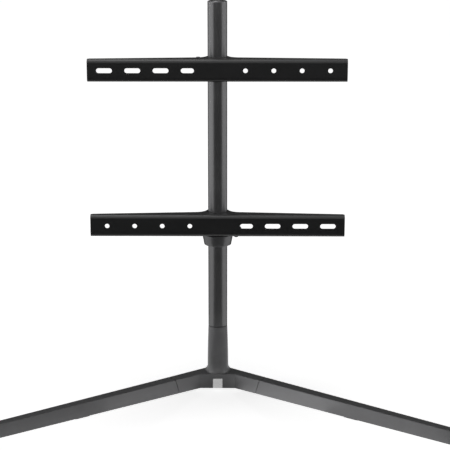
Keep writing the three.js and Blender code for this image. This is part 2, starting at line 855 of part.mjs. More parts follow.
// A bar inside the rail, whose front corners follow the inside of the bends.
function blockBar(left, right, rear, low, high) {
  const front = railSheet + seatGap - railFaceDepth;
  const corner = railBendRadius - railSheet - seatGap;
  const shape = new THREE.Shape();
  shape.moveTo(-rear, low);
  shape.lineTo(-rear, high);
  shape.absarc(front + corner, high - corner, corner, Math.PI / 2, Math.PI);
  shape.absarc(front + corner, low + corner, corner, Math.PI, 1.5 * Math.PI);
  shape.closePath();
  return prismX(shape, left, right, bendSteps);
}

// The block that grips the pole, with a screw ear at two opposite corners.
function blockGeometry() {
  const high = blockHalfHeight;
  const parts = [
    blockBar(-blockHalfWidth, blockHalfWidth, blockRearPlace, -high, high),
    blockBar(-earHalfWidth, 0, earRearPlace, high - earThickness, high),
    blockBar(0, earHalfWidth, earRearPlace, -high, earThickness - high),
    cylinderY(bossRadius, 0, bossLength, journalSides),
  ];
  let block = solidOf(cylinderZ(blockRadius, -high, high, poleSides));
  for (const part of parts) block = block.add(solidOf(part));
  block = block.subtract(solidOf(cylinderZ(blockBore, -railHeight, railHeight, poleSides)));
  const clampHole = cylinderY(clampScrew.shank + seatGap, 0, bossLength + cutOverrun, screwSides);
  block = block.subtract(solidOf(clampHole));
  for (const hole of railScrewHoles()) block = block.subtract(hole);
  return geometryOf(block);
}

function upperSleeveGeometry() {
  const top = railHalf - sleeveRecess;
  const foot = railHalf - railSheet - sleeveLength;
  return tube(sleeveRadius, sleeveBore, foot, top, poleSides);
}

function lowerSleeveGeometry() {
  const top = railSheet + sleeveLength - railHalf;
  const seat = -railHalf - seatGap;
  const foot = seat - sleeveFlange;
  return turned([
    [sleeveBore, foot], [sleeveFlangeRadius, foot], [sleeveFlangeRadius, seat],
    [sleeveRadius, seat], [sleeveRadius, top], [sleeveBore, top], [sleeveBore, foot],
  ], poleSides);
}

const clampSeat = bossLength + seatGap;
const clampPadFront = poleRadius + seatGap;
const clampLength = clampSeat - clampPadFront - clampPadThickness - seatGap;

function clampPadGeometry() {
  const back = clampPadFront + clampPadThickness;
  return cylinderY(clampScrew.shank - seatGap, clampPadFront, back, screwSides);
}

function collarGeometry() {
  const waist = collarFootHeight + collarWaistHeight;
  const body = turned([
    [collarBore, collarFootHeight],
    [collarBottomRadius - collarEdge, collarFootHeight],
    [collarBottomRadius, collarFootHeight + collarEdge],
    [collarWaistRadius, waist],
    [collarTopRadius, collarTopHeight - collarEdge],
    [collarTopRadius - collarEdge, collarTopHeight],
    [collarBore, collarTopHeight],
    [collarBore, collarFootHeight],
  ], poleSides);
  const hole = cylinderY(collarScrewRadius + seatGap, poleRadius / 2, 2 * collarTopRadius, screwSides);
  hole.translate(0, 0, collarFootHeight + collarScrewHeight);
  return geometryOf(solidOf(body).subtract(solidOf(hole)));
}

// Materials

function finish(color, roughness, metalness) {
  return () => new THREE.MeshStandardMaterial({ color, roughness, metalness });
}

const poleMetal = finish(0x58585a, 0.35, 0.8);
const castMetal = finish(0x4a4a4b, 0.6, 0.4);
const railMetal = finish(0x1e1e1f, 0.45, 0.3);
const plateMetal = finish(0xb0b0b0, 0.35, 0.9);
const screwMetal = finish(0x2c2c2e, 0.4, 0.8);
const steel = finish(0x8d8d90, 0.35, 0.9);
const nylon = finish(0x232323, 0.6, 0);
const rubber = finish(0x1a1a1a, 0.9, 0);

// Assembly

const stand = new THREE.Group();

function addPart(parent, name, geometry, material) {
  const mesh = new THREE.Mesh(geometry, material());
  mesh.name = name;
  parent.add(mesh);
  return mesh;
}

function addBase() {
  addPart(stand, 'hub_casting', hubGeometry(), castMetal);
  addPart(stand, 'front_plate', plateGeometry(), plateMetal);
  addPart(stand, 'neck_bush_upper', upperBushGeometry(), nylon);
  addPart(stand, 'neck_bush_lower', lowerBushGeometry(), nylon);
  const padTop = footHeight + padSeatDepth - seatGap;
  addPart(stand, 'foot_hub', cylinderZ(hubPadRadius, 0, padTop, poleSides), rubber);
  for (const [label, side] of [['left', -1], ['right', 1]]) {
    const group = new THREE.Group();
    group.applyMatrix4(legFrame(side));
    const leg = side > 0 ? legGeometry() : mirroredY(legGeometry());
    addPart(group, `leg_${label}`, leg, castMetal);
    for (const [spot, place] of Object.entries(padPlaces)) {
      const pad = addPart(group, `foot_${label}_${spot}`, padGeometry(), rubber);
      pad.position.set(place, (side * legWidthAt(place)) / 2, 0);
    }
    legScrewPlaces.forEach((place, index) => {
      const geometry = capScrew(legScrew, legScrew.length);
      const screw = addPart(group, `leg_screw_${label}_${index + 1}`, geometry, screwMetal);
      screw.position.set(place, (side * legRootWidth) / 2, legScrewSeat);
    });
    stand.add(group);
  }
}

function addColumn() {
  addPart(stand, 'pole_tube', poleGeometry(), poleMetal);
  addPart(stand, 'pole_cap', capGeometry(), poleMetal);
  addPart(stand, 'swivel_spindle', spindleGeometry(), steel);
  addPart(stand, 'swivel_stop_washer', stopWasherGeometry(), steel);
  const bolt = addPart(stand, 'spindle_bolt', capScrew(spindleBolt, spindleBolt.length), screwMetal);
  bolt.position.z = stopWasherFoot - seatGap;
  poleScrewHeights.forEach((height, index) => {
    const geometry = capScrew(poleScrew, poleScrew.length);
    const screw = addPart(stand, `pole_screw_${index + 1}`, geometry, screwMetal);
    screw.rotation.x = Math.PI / 2;
    screw.position.set(0, poleRadius + seatGap, height);
  });
}

// The two rails are the same part: the lower one is turned end for end.
function addCarriage(label, height, turnedOver) {
  const group = new THREE.Group();
  group.position.z = height;
  const frame = new THREE.Group();
  frame.rotation.y = turnedOver ? Math.PI : 0;
  addPart(frame, `${label}_rail`, railGeometry(), railMetal);
  addPart(frame, `${label}_clamp_block`, blockGeometry(), castMetal);
  addPart(group, `${label}_sleeve_top`, upperSleeveGeometry(), nylon);
  addPart(group, `${label}_sleeve_bottom`, lowerSleeveGeometry(), nylon);
  addPart(group, `${label}_clamp_pad`, clampPadGeometry(), nylon);
  const clamp = addPart(group, `${label}_clamp_screw`, capScrew(clampScrew, clampLength), screwMetal);
  clamp.rotation.x = Math.PI / 2;
  clamp.position.y = clampSeat;
  const [raisedSpot, sunkSpot] = turnedOver ? ['right', 'left'] : ['left', 'right'];
  const raisedScrew = capScrew(railScrew, railScrew.length);
  const raised = addPart(frame, `${label}_rail_screw_${raisedSpot}`, raisedScrew, screwMetal);
  raised.rotation.x = Math.PI;
  raised.position.set(-railScrewPlaceX, -railScrewPlaceY, railHalf + seatGap);
  const sunk = addPart(frame, `${label}_rail_screw_${sunkSpot}`, sunkScrew(railSunkScrew), screwMetal);
  sunk.position.set(railScrewPlaceX, -railScrewPlaceY, -railHalf);
  group.add(frame);
  stand.add(group);
}

function addCollar() {
  addPart(stand, 'height_collar', collarGeometry(), poleMetal);
  const geometry = grubScrew(collarScrewRadius, collarScrewLength);
  const screw = addPart(stand, 'collar_screw', geometry, screwMetal);
  screw.rotation.x = Math.PI / 2;
  screw.position.y = poleRadius + seatGap + collarScrewLength;
  screw.position.z = collarFootHeight + collarScrewHeight;
}

addBase();
addColumn();
addCarriage('lower', lowerRailHeight, true);
addCarriage('upper', upperRailHeight, false);
addCollar();

export default stand;
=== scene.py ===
"""Looks for a table stand for a television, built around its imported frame.

Two cast legs run forward from a small hub with a neck. A round pole swivels on
the neck, and two slotted cross rails slide on the pole. Sizes are written in
millimetres and meshes are made in metres. The origin is on the floor, on the
axis of the pole; +Z is up and the screen side faces -Y.
"""

import json
import logging
import math
from dataclasses import dataclass
from enum import Enum
from typing import Dict, Iterable, List, Optional, Sequence, Tuple, Union

import bmesh
import bpy
from mathutils import Matrix, Vector

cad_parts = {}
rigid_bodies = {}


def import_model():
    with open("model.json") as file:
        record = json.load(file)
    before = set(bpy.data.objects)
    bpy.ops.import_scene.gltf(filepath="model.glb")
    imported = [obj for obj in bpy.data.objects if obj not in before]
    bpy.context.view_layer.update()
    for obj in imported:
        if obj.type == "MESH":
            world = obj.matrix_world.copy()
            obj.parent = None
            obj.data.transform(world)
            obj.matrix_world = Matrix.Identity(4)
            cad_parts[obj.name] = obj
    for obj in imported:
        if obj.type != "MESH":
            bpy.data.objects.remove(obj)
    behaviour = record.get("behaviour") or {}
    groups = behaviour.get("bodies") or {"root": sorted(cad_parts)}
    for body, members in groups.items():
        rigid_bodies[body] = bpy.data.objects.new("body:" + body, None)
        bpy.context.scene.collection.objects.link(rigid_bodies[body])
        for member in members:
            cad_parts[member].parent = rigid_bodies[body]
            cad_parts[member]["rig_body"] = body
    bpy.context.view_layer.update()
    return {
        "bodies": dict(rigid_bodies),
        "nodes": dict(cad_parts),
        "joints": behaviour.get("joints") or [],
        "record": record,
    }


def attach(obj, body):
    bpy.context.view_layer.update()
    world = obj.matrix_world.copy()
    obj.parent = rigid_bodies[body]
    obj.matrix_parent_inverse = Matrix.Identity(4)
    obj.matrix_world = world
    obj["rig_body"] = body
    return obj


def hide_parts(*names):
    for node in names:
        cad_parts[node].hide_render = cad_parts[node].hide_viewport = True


LOG = logging.getLogger("stand")

MM = 0.001
CREASE = 32.0  # the least angle in degrees that stays a crease
CORNER = 35.0  # the least angle in degrees that is eased
OVERRUN = 2.0  # how far a cutter or a lap reaches past a face
FLARE = 1.0  # how far a flared cutter reaches past a face
DRILL_ROOM = 1.3  # how much longer a hole is than its screw
SAME_POINT = 1e-6  # points closer than this count as one
NOISE_MEAN = 0.5  # the level that noise swings about
CARD_FOOT = 0.001  # metres between the floor and a card that lies on it

Pair = Tuple[float, float]
Triple = Tuple[float, float, float]
Ring = List[Vector]
Value = Union["Wire", float, Tuple[float, ...]]


# Shader trees


class Wire:
    """An output socket that takes part in written expressions."""

    def __init__(self, tree: "ShaderTree", socket: bpy.types.NodeSocket) -> None:
        """Keep the socket and the tree that it belongs to."""
        self.tree = tree
        self.socket = socket

    def _math(self, operation: str, first: Value, second: Value) -> "Wire":
        """Add a Math node.

        Args:
            operation: The node's operation.
            first: Its first value.
            second: Its second value.

        Returns:
            The node's result.
        """
        return self.tree.node("ShaderNodeMath", {"operation": operation}, {0: first, 1: second})

    def __add__(self, other: Value) -> "Wire":
        """This value plus another."""
        return self._math("ADD", self, other)

    __radd__ = __add__

    def __sub__(self, other: Value) -> "Wire":
        """This value less another."""
        return self._math("SUBTRACT", self, other)

    def __rsub__(self, other: Value) -> "Wire":
        """Another value less this one."""
        return self._math("SUBTRACT", other, self)

    def __mul__(self, other: Value) -> "Wire":
        """This value times another."""
        return self._math("MULTIPLY", self, other)

    __rmul__ = __mul__

    def __or__(self, other: Value) -> "Wire":
        """The larger of this value and another."""
        return self._math("MAXIMUM", self, other)

    def between(self, low: float, high: float) -> "Wire":
        """Stretch the part of this value from low to high over 0 to 1.

        Args:
            low: What becomes 0.
            high: What becomes 1.

        Returns:
            The stretched value, held between 0 and 1.
        """
        ends = {"Value": self, "From Min": low, "From Max": high}
        return self.tree.node("ShaderNodeMapRange", {"clamp": True}, ends)


class ShaderTree:
    """The node tree of a material or of the world."""

    def __init__(self, owner: Union[bpy.types.Material, bpy.types.World]) -> None:
        """Empty the owner's tree.

        Args:
            owner: The material or the world that the tree belongs to.
        """
        owner.use_nodes = True
        self.tree = owner.node_tree
        self.tree.nodes.clear()

    def node(
        self,
        kind: str,
        settings: Optional[Dict[str, object]] = None,
        inputs: Optional[Dict[Union[int, str], Value]] = None,
        output: Union[int, str] = 0,
    ) -> Optional[Wire]:
        """Add one node.

        Args:
            kind: The node's type.
            settings: Its settings, which are set first.
            inputs: Values or wires for its sockets.
            output: The socket to return.

        Returns:
            The output as a wire, or None for a node without outputs.
        """
        made = self.tree.nodes.new(kind)
        for name, setting in (settings or {}).items():
            setattr(made, name, setting)
        for name, value in (inputs or {}).items():
            if isinstance(value, Wire):
                self.tree.links.new(value.socket, made.inputs[name])
            else:
                made.inputs[name].default_value = value
        return Wire(self, made.outputs[output]) if made.outputs else None

    def place(self, stretch: Triple) -> Wire:
        """The point on the object, counted in grains.

        Args:
            stretch: The grain's size along each axis, in millimetres.

        Returns:
            The point.
        """
        point = self.node("ShaderNodeTexCoord", output="Object")
        scale = tuple(1 / (MM * size) for size in stretch)
        return self.node("ShaderNodeVectorMath", {"operation": "MULTIPLY"}, {0: point, 1: scale})

    def noise(self, size: Union[float, Triple], detail: float) -> Wire:
        """Noise with grains of a size.

        Args:
            size: The grain's size in millimetres, or its size along each axis.
            detail: How much finer noise is laid over it.

        Returns:
            The noise, from 0 to 1.
        """
        stretch = size if isinstance(size, tuple) else (size, size, size)
        inputs = {"Vector": self.place(stretch), "Scale": 1.0, "Detail": detail}
        return self.node("ShaderNodeTexNoise", inputs=inputs)

    def blend(self, share: Value, first: Value, second: Value) -> Wire:
        """Mix two colours.

        Args:
            share: The second colour's share.
            first: The first colour.
            second: The second colour.

        Returns:
            The mixed colour.
        """
        # A Mix node's colours are its inputs 6 and 7, and its output 2.
        return self.node("ShaderNodeMix", {"data_type": "RGBA"}, {0: share, 6: first, 7: second}, 2)


def linear(tone: float) -> float:
    """The linear value of a display tone from 0 to 255, by the usual curve of displays."""
    share = tone / 255
    return share / 12.92 if share <= 0.04045 else ((share + 0.055) / 1.055) ** 2.4


def colour(tones: Sequence[float]) -> Tuple[float, float, float, float]:
    """The linear colour of three display tones."""
    red, green, blue = (linear(tone) for tone in tones)
    return (red, green, blue, 1.0)


# Finishes


@dataclass(frozen=True)
class Layer:
    """One layer in the texture of a finish.

    Attributes:
        size: Its grain in millimetres, or its grain along each axis.
        detail: How much finer noise is laid over it.
        band: The levels of its noise between which it comes up.
        rub: How far it takes the colour to the worn tones where it comes up.
        dull: What it adds to the roughness where it comes up.
        swing: How far it moves the roughness up and down.
        relief: Its share of the relief.
    """

    size: Union[float, Triple]
    detail: float
    band: Pair = (0.3, 0.7)
    rub: float = 0.0
    dull: float = 0.0
    swing: float = 0.0
    relief: float = 0.0


@dataclass(frozen=True)
class Finish:
    """A surface finish.

    Attributes:
        name: The finish in a maker's words.
        slot: The record's material slot; it is not used.
        tones: Display tones of the plain surface.
        worn_tones: Display tones where the surface is rubbed.
        metal: How far it is a metal, from 0 to 1.
        rough: Its roughness.
        relief: The height of its texture in millimetres.
        gloss: Strength of the clear reflection.
        layers: The layers of its texture.
    """

    name: str
    slot: str
    tones: Triple
    worn_tones: Triple
    metal: float
    rough: float
    relief: float
    gloss: float = 0.5
    layers: Tuple[Layer, ...] = ()

    def texture(self, tree: ShaderTree) -> Tuple[Wire, Wire, Wire]:
        """Lay the layers over each other.

        Args:
            tree: The material's tree.

        Returns:
            The colour's wear, the roughness and the relief.
        """
        wear, rough, relief = [], [], []
        for layer in self.layers:
            noise = tree.noise(layer.size, layer.detail)
            if layer.rub:
                wear.append(noise.between(*layer.band) * layer.rub)
            if layer.dull:
                rough.append(noise.between(*layer.band) * layer.dull)
            if layer.swing:
                rough.append((noise - NOISE_MEAN) * layer.swing)
            if layer.relief:
                relief.append(noise * layer.relief)
        return sum(wear[1:], wear[0]), sum(rough, self.rough), sum(relief[1:], relief[0])

    def material(self) -> bpy.types.Material:
        """The finish as a material, made once.

        Returns:
            The material.
        """
        found = bpy.data.materials.get(self.name)
        if found:
            return found
        made = bpy.data.materials.new(self.name)
        tree = ShaderTree(made)
        wear, rough, relief = self.texture(tree)
        bump = {"Strength": 1.0, "Distance": self.relief * MM, "Height": relief}
        shader = tree.node(
            "ShaderNodeBsdfPrincipled",
            inputs={
                "Base Color": tree.blend(wear, colour(self.tones), colour(self.worn_tones)),
                "Metallic": self.metal,
                "Roughness": rough,
                "Specular IOR Level": self.gloss,
                "Normal": tree.node("ShaderNodeBump", inputs=bump),
            },
        )
        tree.node("ShaderNodeOutputMaterial", inputs={"Surface": shader})
        return made


@dataclass(frozen=True)
class DrawnTube(Finish):
    """Satin metal with fine lines drawn along it, and faint hand marks."""

    layers: Tuple[Layer, ...] = (
        Layer((26.0, 26.0, 60.0), 4.0, (0.35, 0.75), rub=0.5),
        Layer((0.35, 0.35, 90.0), 3.0, (0.3, 0.7), rub=0.3, swing=0.08, relief=1.0),
        Layer((26.0, 26.0, 60.0), 4.0, (0.45, 0.75), dull=0.06),
    )


@dataclass(frozen=True)
class CastPaint(Finish):
    """Fine sprayed paint on a casting: rubbed places, slow waves and the paint's grain."""

    layers: Tuple[Layer, ...] = (
        Layer((60.0, 60.0, 9.0), 5.0, (0.56, 0.8), rub=0.35, dull=-0.06),
        Layer(22.0, 2.0, (0.3, 0.7), rub=0.3, relief=0.6),
        Layer(0.9, 3.0, (0.35, 0.65), rub=0.2, swing=0.16, relief=1.0),
    )


@dataclass(frozen=True)
class SheetCoat(Finish):
    """Baked black coat on folded sheet: fine peel, dust and a cloudy tone."""

    layers: Tuple[Layer, ...] = (
        Layer(1.6, 1.0, relief=1.0),
        Layer(0.7, 4.0, (0.62, 0.8), rub=0.35, dull=0.1),
        Layer((70.0, 24.0, 24.0), 4.0, (0.35, 0.7), rub=0.35, swing=0.12),
    )


@dataclass(frozen=True)
class BrushedPlate(Finish):
    """Bright plate, slightly mottled and brushed from side to side."""

    layers: Tuple[Layer, ...] = (
        Layer((7.0, 0.12, 0.12), 3.0, (0.3, 0.7), rub=0.45, swing=0.2, relief=1.0),
        Layer(2.4, 3.0, (0.35, 0.65), rub=0.45),
    )


@dataclass(frozen=True)
class MachinedMetal(Finish):
    """Turned or blacked metal with faint tool lines and a spotty tone."""

    layers: Tuple[Layer, ...] = (
        Layer((0.5, 0.5, 0.09), 2.0, relief=1.0),
        Layer(1.3, 4.0, (0.4, 0.75), rub=0.6, swing=0.2),
    )


def spark(grain: float) -> Tuple[Layer, ...]:
    """A mould's spark texture with a trace of dust.

    Args:
        grain: Its grain in millimetres.

    Returns:
        The layers.
    """
    return (
        Layer(6.0, 5.0, (0.5, 0.8), rub=0.5),
        Layer(grain, 3.0, (0.4, 0.7), rub=0.2, swing=0.15, relief=1.0),
    )


@dataclass(frozen=True)
class Moulded(Finish):
    """Moulded nylon or rubber with a matt spark texture."""

    layers: Tuple[Layer, ...] = spark(0.35)


TUBE = DrawnTube(
    "satin_tube", "pole_metal", (110, 110, 111), (120, 120, 121), metal=0.9, rough=0.3, relief=0.004
)
FLARED = DrawnTube(
    "satin_collar", "pole_metal", (102, 102, 103), (111, 111, 112),
    metal=0.9, rough=0.32, relief=0.004,
)
CAST = CastPaint(
    "cast_paint", "cast_metal", (100, 100, 101), (111, 111, 112),
    metal=0.15, rough=0.48, relief=0.05, gloss=0.28,
)
COAT = SheetCoat(
    "sheet_coat", "rail_metal", (16, 16, 17), (22, 22, 23),
    metal=0.0, rough=0.39, relief=0.02, gloss=0.56,
)
PLATE = BrushedPlate(
    "brushed_plate", "plate_metal", (188, 188, 188), (206, 206, 206),
    metal=0.8, rough=0.3, relief=0.004,
)
BLACKED = MachinedMetal(
    "blacked_screw", "screw_metal", (52, 52, 54), (86, 86, 88), metal=0.8, rough=0.4, relief=0.01
)
DULL_STEEL = MachinedMetal(
    "dull_steel", "screw_metal", (96, 96, 98), (128, 128, 130), metal=0.8, rough=0.4, relief=0.008
)
STEEL = MachinedMetal(
    "turned_steel", "steel", (150, 150, 152), (176, 176, 178), metal=0.95, rough=0.32, relief=0.006
)
NYLON = Moulded(
    "black_nylon", "nylon", (34, 34, 34), (46, 46, 46),
    metal=0.0, rough=0.55, relief=0.02, gloss=0.4,
)
GREY_NYLON = Moulded(
    "grey_nylon", "nylon", (70, 70, 70), (84, 84, 84),
    metal=0.0, rough=0.5, relief=0.02, gloss=0.4,
)
RUBBER = Moulded(
    "foot_rubber", "rubber", (28, 28, 28), (44, 44, 43),
    metal=0.0, rough=0.82, relief=0.05, gloss=0.3, layers=spark(0.6),
)


# Outlines


def arc(centre: Pair, radius: float, start: float, end: float, steps: int) -> List[Pair]:
    """Points on an arc.

    Args:
        centre: Its centre.
        radius: Its radius.
        start: Its first angle in degrees.
        end: Its last angle in degrees.
        steps: How many steps it takes.

    Returns:
        The points, both ends among them.
    """
    turns = [math.radians(start + (end - start) * step / steps) for step in range(steps + 1)]
    return [(centre[0] + radius * math.cos(t), centre[1] + radius * math.sin(t)) for t in turns]


def quarter(steps: int) -> List[Pair]:
    """A quarter round that starts along an edge and ends square to it.

    Args:
        steps: How many steps it takes.

    Returns:
        At each step, both ends among them, the shares of the radius that it has
        gone along and drawn in.
    """
    bends = [math.radians(90 * step / steps) for step in range(steps + 1)]
    return [(math.sin(bend), 1 - math.cos(bend)) for bend in bends]


def rounded(length: float, width: float, corner: float, steps: int = 8) -> List[Pair]:
    """A rectangle round the origin with rounded corners.

    Args:
        length: Its size along the first axis.
        width: Its size along the second axis.
        corner: The radius of its corners.
        steps: Steps of each corner.

    Returns:
        The outline, turning left.
    """
    points: List[Pair] = []
    for start, right, up in ((0, 1, 1), (90, -1, 1), (180, -1, -1), (270, 1, -1)):
        centre = (right * (length / 2 - corner), up * (width / 2 - corner))
        for point in arc(centre, corner, start, start + 90, steps):
            if not points or math.dist(point, points[-1]) > SAME_POINT:
                points.append(point)
    if math.dist(points[0], points[-1]) < SAME_POINT:
        points.pop()
    return points


def circle(radius: float, sides: int) -> List[Pair]:
    """A circle round the origin with an even count of sides."""
    return arc((0.0, 0.0), radius, 0, 360, sides)[:-1]


class Across(Enum):
    """The axis that crosses the plane of an outline."""

    X = 0
    Y = 1
    Z = 2

    def point(self, pair: Pair, along: float) -> Vector:
        """The place of an outline's point at a place along the axis.

        Args:
            pair: The outline's point.
            along: The place along the axis.

        Returns:
            The point in space.
        """
        values = list(pair)
        values.insert(self.value, along)
        return Vector(values)

    def ring(self, outline: Iterable[Pair], along: float) -> Ring:
        """An outline as a ring at a place along the axis."""
        return [self.point(pair, along) for pair in outline]


# Solids


def linked(name: str, data: bpy.types.ID) -> bpy.types.Object:
    """Make an object in the scene.

    Args:
        name: Its name.
        data: Its mesh, lamp or camera.

    Returns:
        The object.
    """
    made = bpy.data.objects.new(name, data)
    bpy.context.scene.collection.objects.link(made)
    return made


def dressed(mesh: bpy.types.Mesh, finish: Finish) -> bpy.types.Mesh:
    """Give a mesh its finish and smooth rounds.

    Args:
        mesh: The mesh.
        finish: Its finish.

    Returns:
        The same mesh.
    """
    mesh.materials.clear()
    mesh.materials.append(finish.material())
    mesh.shade_smooth()
    mesh.set_sharp_from_angle(angle=math.radians(CREASE))
    return mesh


class Solid:
    """A closed form in the making: a mesh in metres that is cut, joined and dressed."""

    def __init__(self, mesh: bpy.types.Mesh) -> None:
        """Keep the mesh."""
        self.mesh = mesh

    @classmethod
    def skinned(cls, rings: Sequence[Ring], looped: bool = False) -> "Solid":
        """Skin a row of rings that have the same number of points.

        Args:
            rings: The rings, in millimetres.
            looped: Whether the last ring meets the first, instead of both being closed.

        Returns:
            The solid.
        """
        sheet = bmesh.new()
        rows = [[sheet.verts.new(point * MM) for point in ring] for ring in rings]
        pairs = list(zip(rows, rows[1:]))
        if looped:
            pairs.append((rows[-1], rows[0]))
        else:
            sheet.faces.new(rows[0])
            sheet.faces.new(rows[-1])
        for low, high in pairs:
            for here, there in zip(range(-1, len(low) - 1), range(len(low))):
                sheet.faces.new((low[here], low[there], high[there], high[here]))
        bmesh.ops.recalc_face_normals(sheet, faces=sheet.faces)
        mesh = bpy.data.meshes.new("work")
        sheet.to_mesh(mesh)
        sheet.free()
        return cls(mesh)

    @classmethod
    def turned(cls, profile: Sequence[Pair], sides: int = 96, hollow: bool = False) -> "Solid":
        """Turn a profile round the Z axis.

        Args:
            profile: Radius and height pairs.
            sides: Facets round the axis.
            hollow: Whether the profile is closed on itself, clear of the axis.

        Returns:
            The solid.
        """
        rings = [Across.Z.ring(circle(radius, sides), height) for radius, height in profile]
        return cls.skinned(rings, hollow)

    @classmethod
    def prism(cls, outline: Sequence[Pair], low: float, high: float, across: Across) -> "Solid":
        """Pull an outline from low to high along the axis that crosses it."""
        return cls.skinned([across.ring(outline, low), across.ring(outline, high)])

    @classmethod
    def box(cls, low: Sequence[float], high: Sequence[float]) -> "Solid":
        """A block between two corners."""
        outline = [(low[0], low[1]), (high[0], low[1]), (high[0], high[1]), (low[0], high[1])]
        return cls.prism(outline, low[2], high[2], Across.Z)

    def moved(self, matrix: Matrix) -> "Solid":
        """A moved copy, right side out also where it is mirrored.

        Args:
            matrix: The move, in metres.

        Returns:
            The copy.
        """
        mesh = self.mesh.copy()
        mesh.transform(matrix)
        if matrix.determinant() < 0:
            mesh.flip_normals()
        return Solid(mesh)

    def _worked(self, kind: str, settings: Dict[str, object]) -> "Solid":
        """Run one modifier and keep its result.

        Args:
            kind: The modifier's type.
            settings: Its settings; a Solid among them stands for its own object.

        Returns:
            The new solid.
        """
        work = linked("work", self.mesh)
        used = [work]
        modifier = work.modifiers.new("work", kind)
        for name, setting in settings.items():
            if isinstance(setting, Solid):
                setting = linked("helper", setting.mesh)
                used.append(setting)
            setattr(modifier, name, setting)
        graph = bpy.context.evaluated_depsgraph_get()
        mesh = bpy.data.meshes.new_from_object(work.evaluated_get(graph), depsgraph=graph)
        for item in used:
            bpy.data.objects.remove(item)
        return Solid(mesh)

    def _joined(self, operation: str, others: Iterable["Solid"]) -> "Solid":
        """Join with, cut by or clip to each of the others in turn.

        Args:
            operation: The boolean's operation.
            others: The other solids.

        Returns:
            The new solid.
        """
        made = self
        for other in others:
            settings = {"operation": operation, "solver": "EXACT", "object": other}
            made = made._worked("BOOLEAN", settings)
        return made

    def plus(self, *others: "Solid") -> "Solid":
        """This solid joined with others."""
        return self._joined("UNION", others)

    def less(self, *others: "Solid") -> "Solid":
        """This solid with others cut away."""
        return self._joined("DIFFERENCE", others)

    def within(self, other: "Solid") -> "Solid":
        """What this solid shares with another."""
        return self._joined("INTERSECT", [other])

    def eased(self, width: float, steps: int) -> "Solid":
        """Round the sharp edges.

        Args:
            width: How far the rounding reaches, in millimetres.
            steps: Facets across it.

        Returns:
            The eased solid.
        """
        settings = {
            "width": width * MM,
            "segments": steps,
            "limit_method": "ANGLE",
            "angle_limit": math.radians(CORNER),
            "use_clamp_overlap": False,
        }
        return self._worked("BEVEL", settings)

    def piece(self, node: str, finish: Finish) -> None:
        """Dress the solid and put it in the place of a CAD node.

        Args:
            node: The CAD node that it stands for.
            finish: Its finish.
        """
        name = f"{node}_finished"
        self.mesh.name = name
        made = linked(name, dressed(self.mesh, finish))
        made.modifiers.new("even_normals", "WEIGHTED_NORMAL").keep_sharp = True
        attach(made, bpy.data.objects[node]["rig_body"])
        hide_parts(node)
        LOG.info("%s: %d faces, %s", name, len(self.mesh.polygons), finish.name)


def at(x: float, y: float, z: float) -> Matrix:
    """A shift in millimetres."""
    return Matrix.Translation(Vector((x, y, z)) * MM)


def turn(degrees: float, axis: str) -> Matrix:
    """A turn about an axis."""
    return Matrix.Rotation(math.radians(degrees), 4, axis)


# Screws


class Head(Enum):
    """The kinds of screw head on the stand."""

    RAISED = "raised"
    SUNK = "sunk"
    NONE = "none"


@dataclass(frozen=True)
class Screw:
    """A socket screw with its seat at the origin and its shank along +Z.

    Attributes:
        shank: Radius of the shank.
        length: Length below the seat.
        head: Radius of the head.
        head_height: Height of the head.
        key: Radius of the socket's corners.
        kind: The kind of head.
    """

    shank: float
    length: float
    head: float
    head_height: float
    key: float
    kind: Head = Head.RAISED
    lead: float = 0.5
    ease: float = 0.25
    bare_ease: float = 0.3
    sunk_rim: float = 0.2
    key_share: float = 0.55
    sides: int = 48

    def profile(self) -> List[Pair]:
        """The screw's profile.

        Returns:
            Radius and height pairs from the driven end to the tip.
        """
        shank, head, high, lead, ease = (
            self.shank, self.head, self.head_height, self.lead, self.ease
        )
        tip = [(shank, self.length - lead), (shank - lead, self.length)]
        if self.kind is Head.NONE:
            return [(shank - self.bare_ease, 0.0), (shank, self.bare_ease), *tip]
        if self.kind is Head.SUNK:
            return [(head, 0.0), (head, self.sunk_rim), (shank, high), *tip]
        crown = arc((head - lead, lead - high), lead, -90, 0, 4)
        return [*crown, (head, -ease), (head - ease, 0.0), (shank, 0.0), *tip]

    def solid(self) -> Solid:
        """The screw with its socket.

        Returns:
            The screw.
        """
        top = -self.head_height if self.kind is Head.RAISED else 0.0
        deep = self.length if self.kind is Head.NONE else self.head_height
        places = [
            (self.key + self.ease + FLARE, top - FLARE),
            (self.key, top + self.ease),
            (self.key, top + self.key_share * deep),
        ]
        socket = Solid.turned(places, 6)
        return Solid.turned(self.profile(), self.sides).less(socket)


# Base: hub, neck, legs and feet


class Side(Enum):
    """The sides of the stand, as the photograph shows them."""

    LEFT = "left"
    RIGHT = "right"


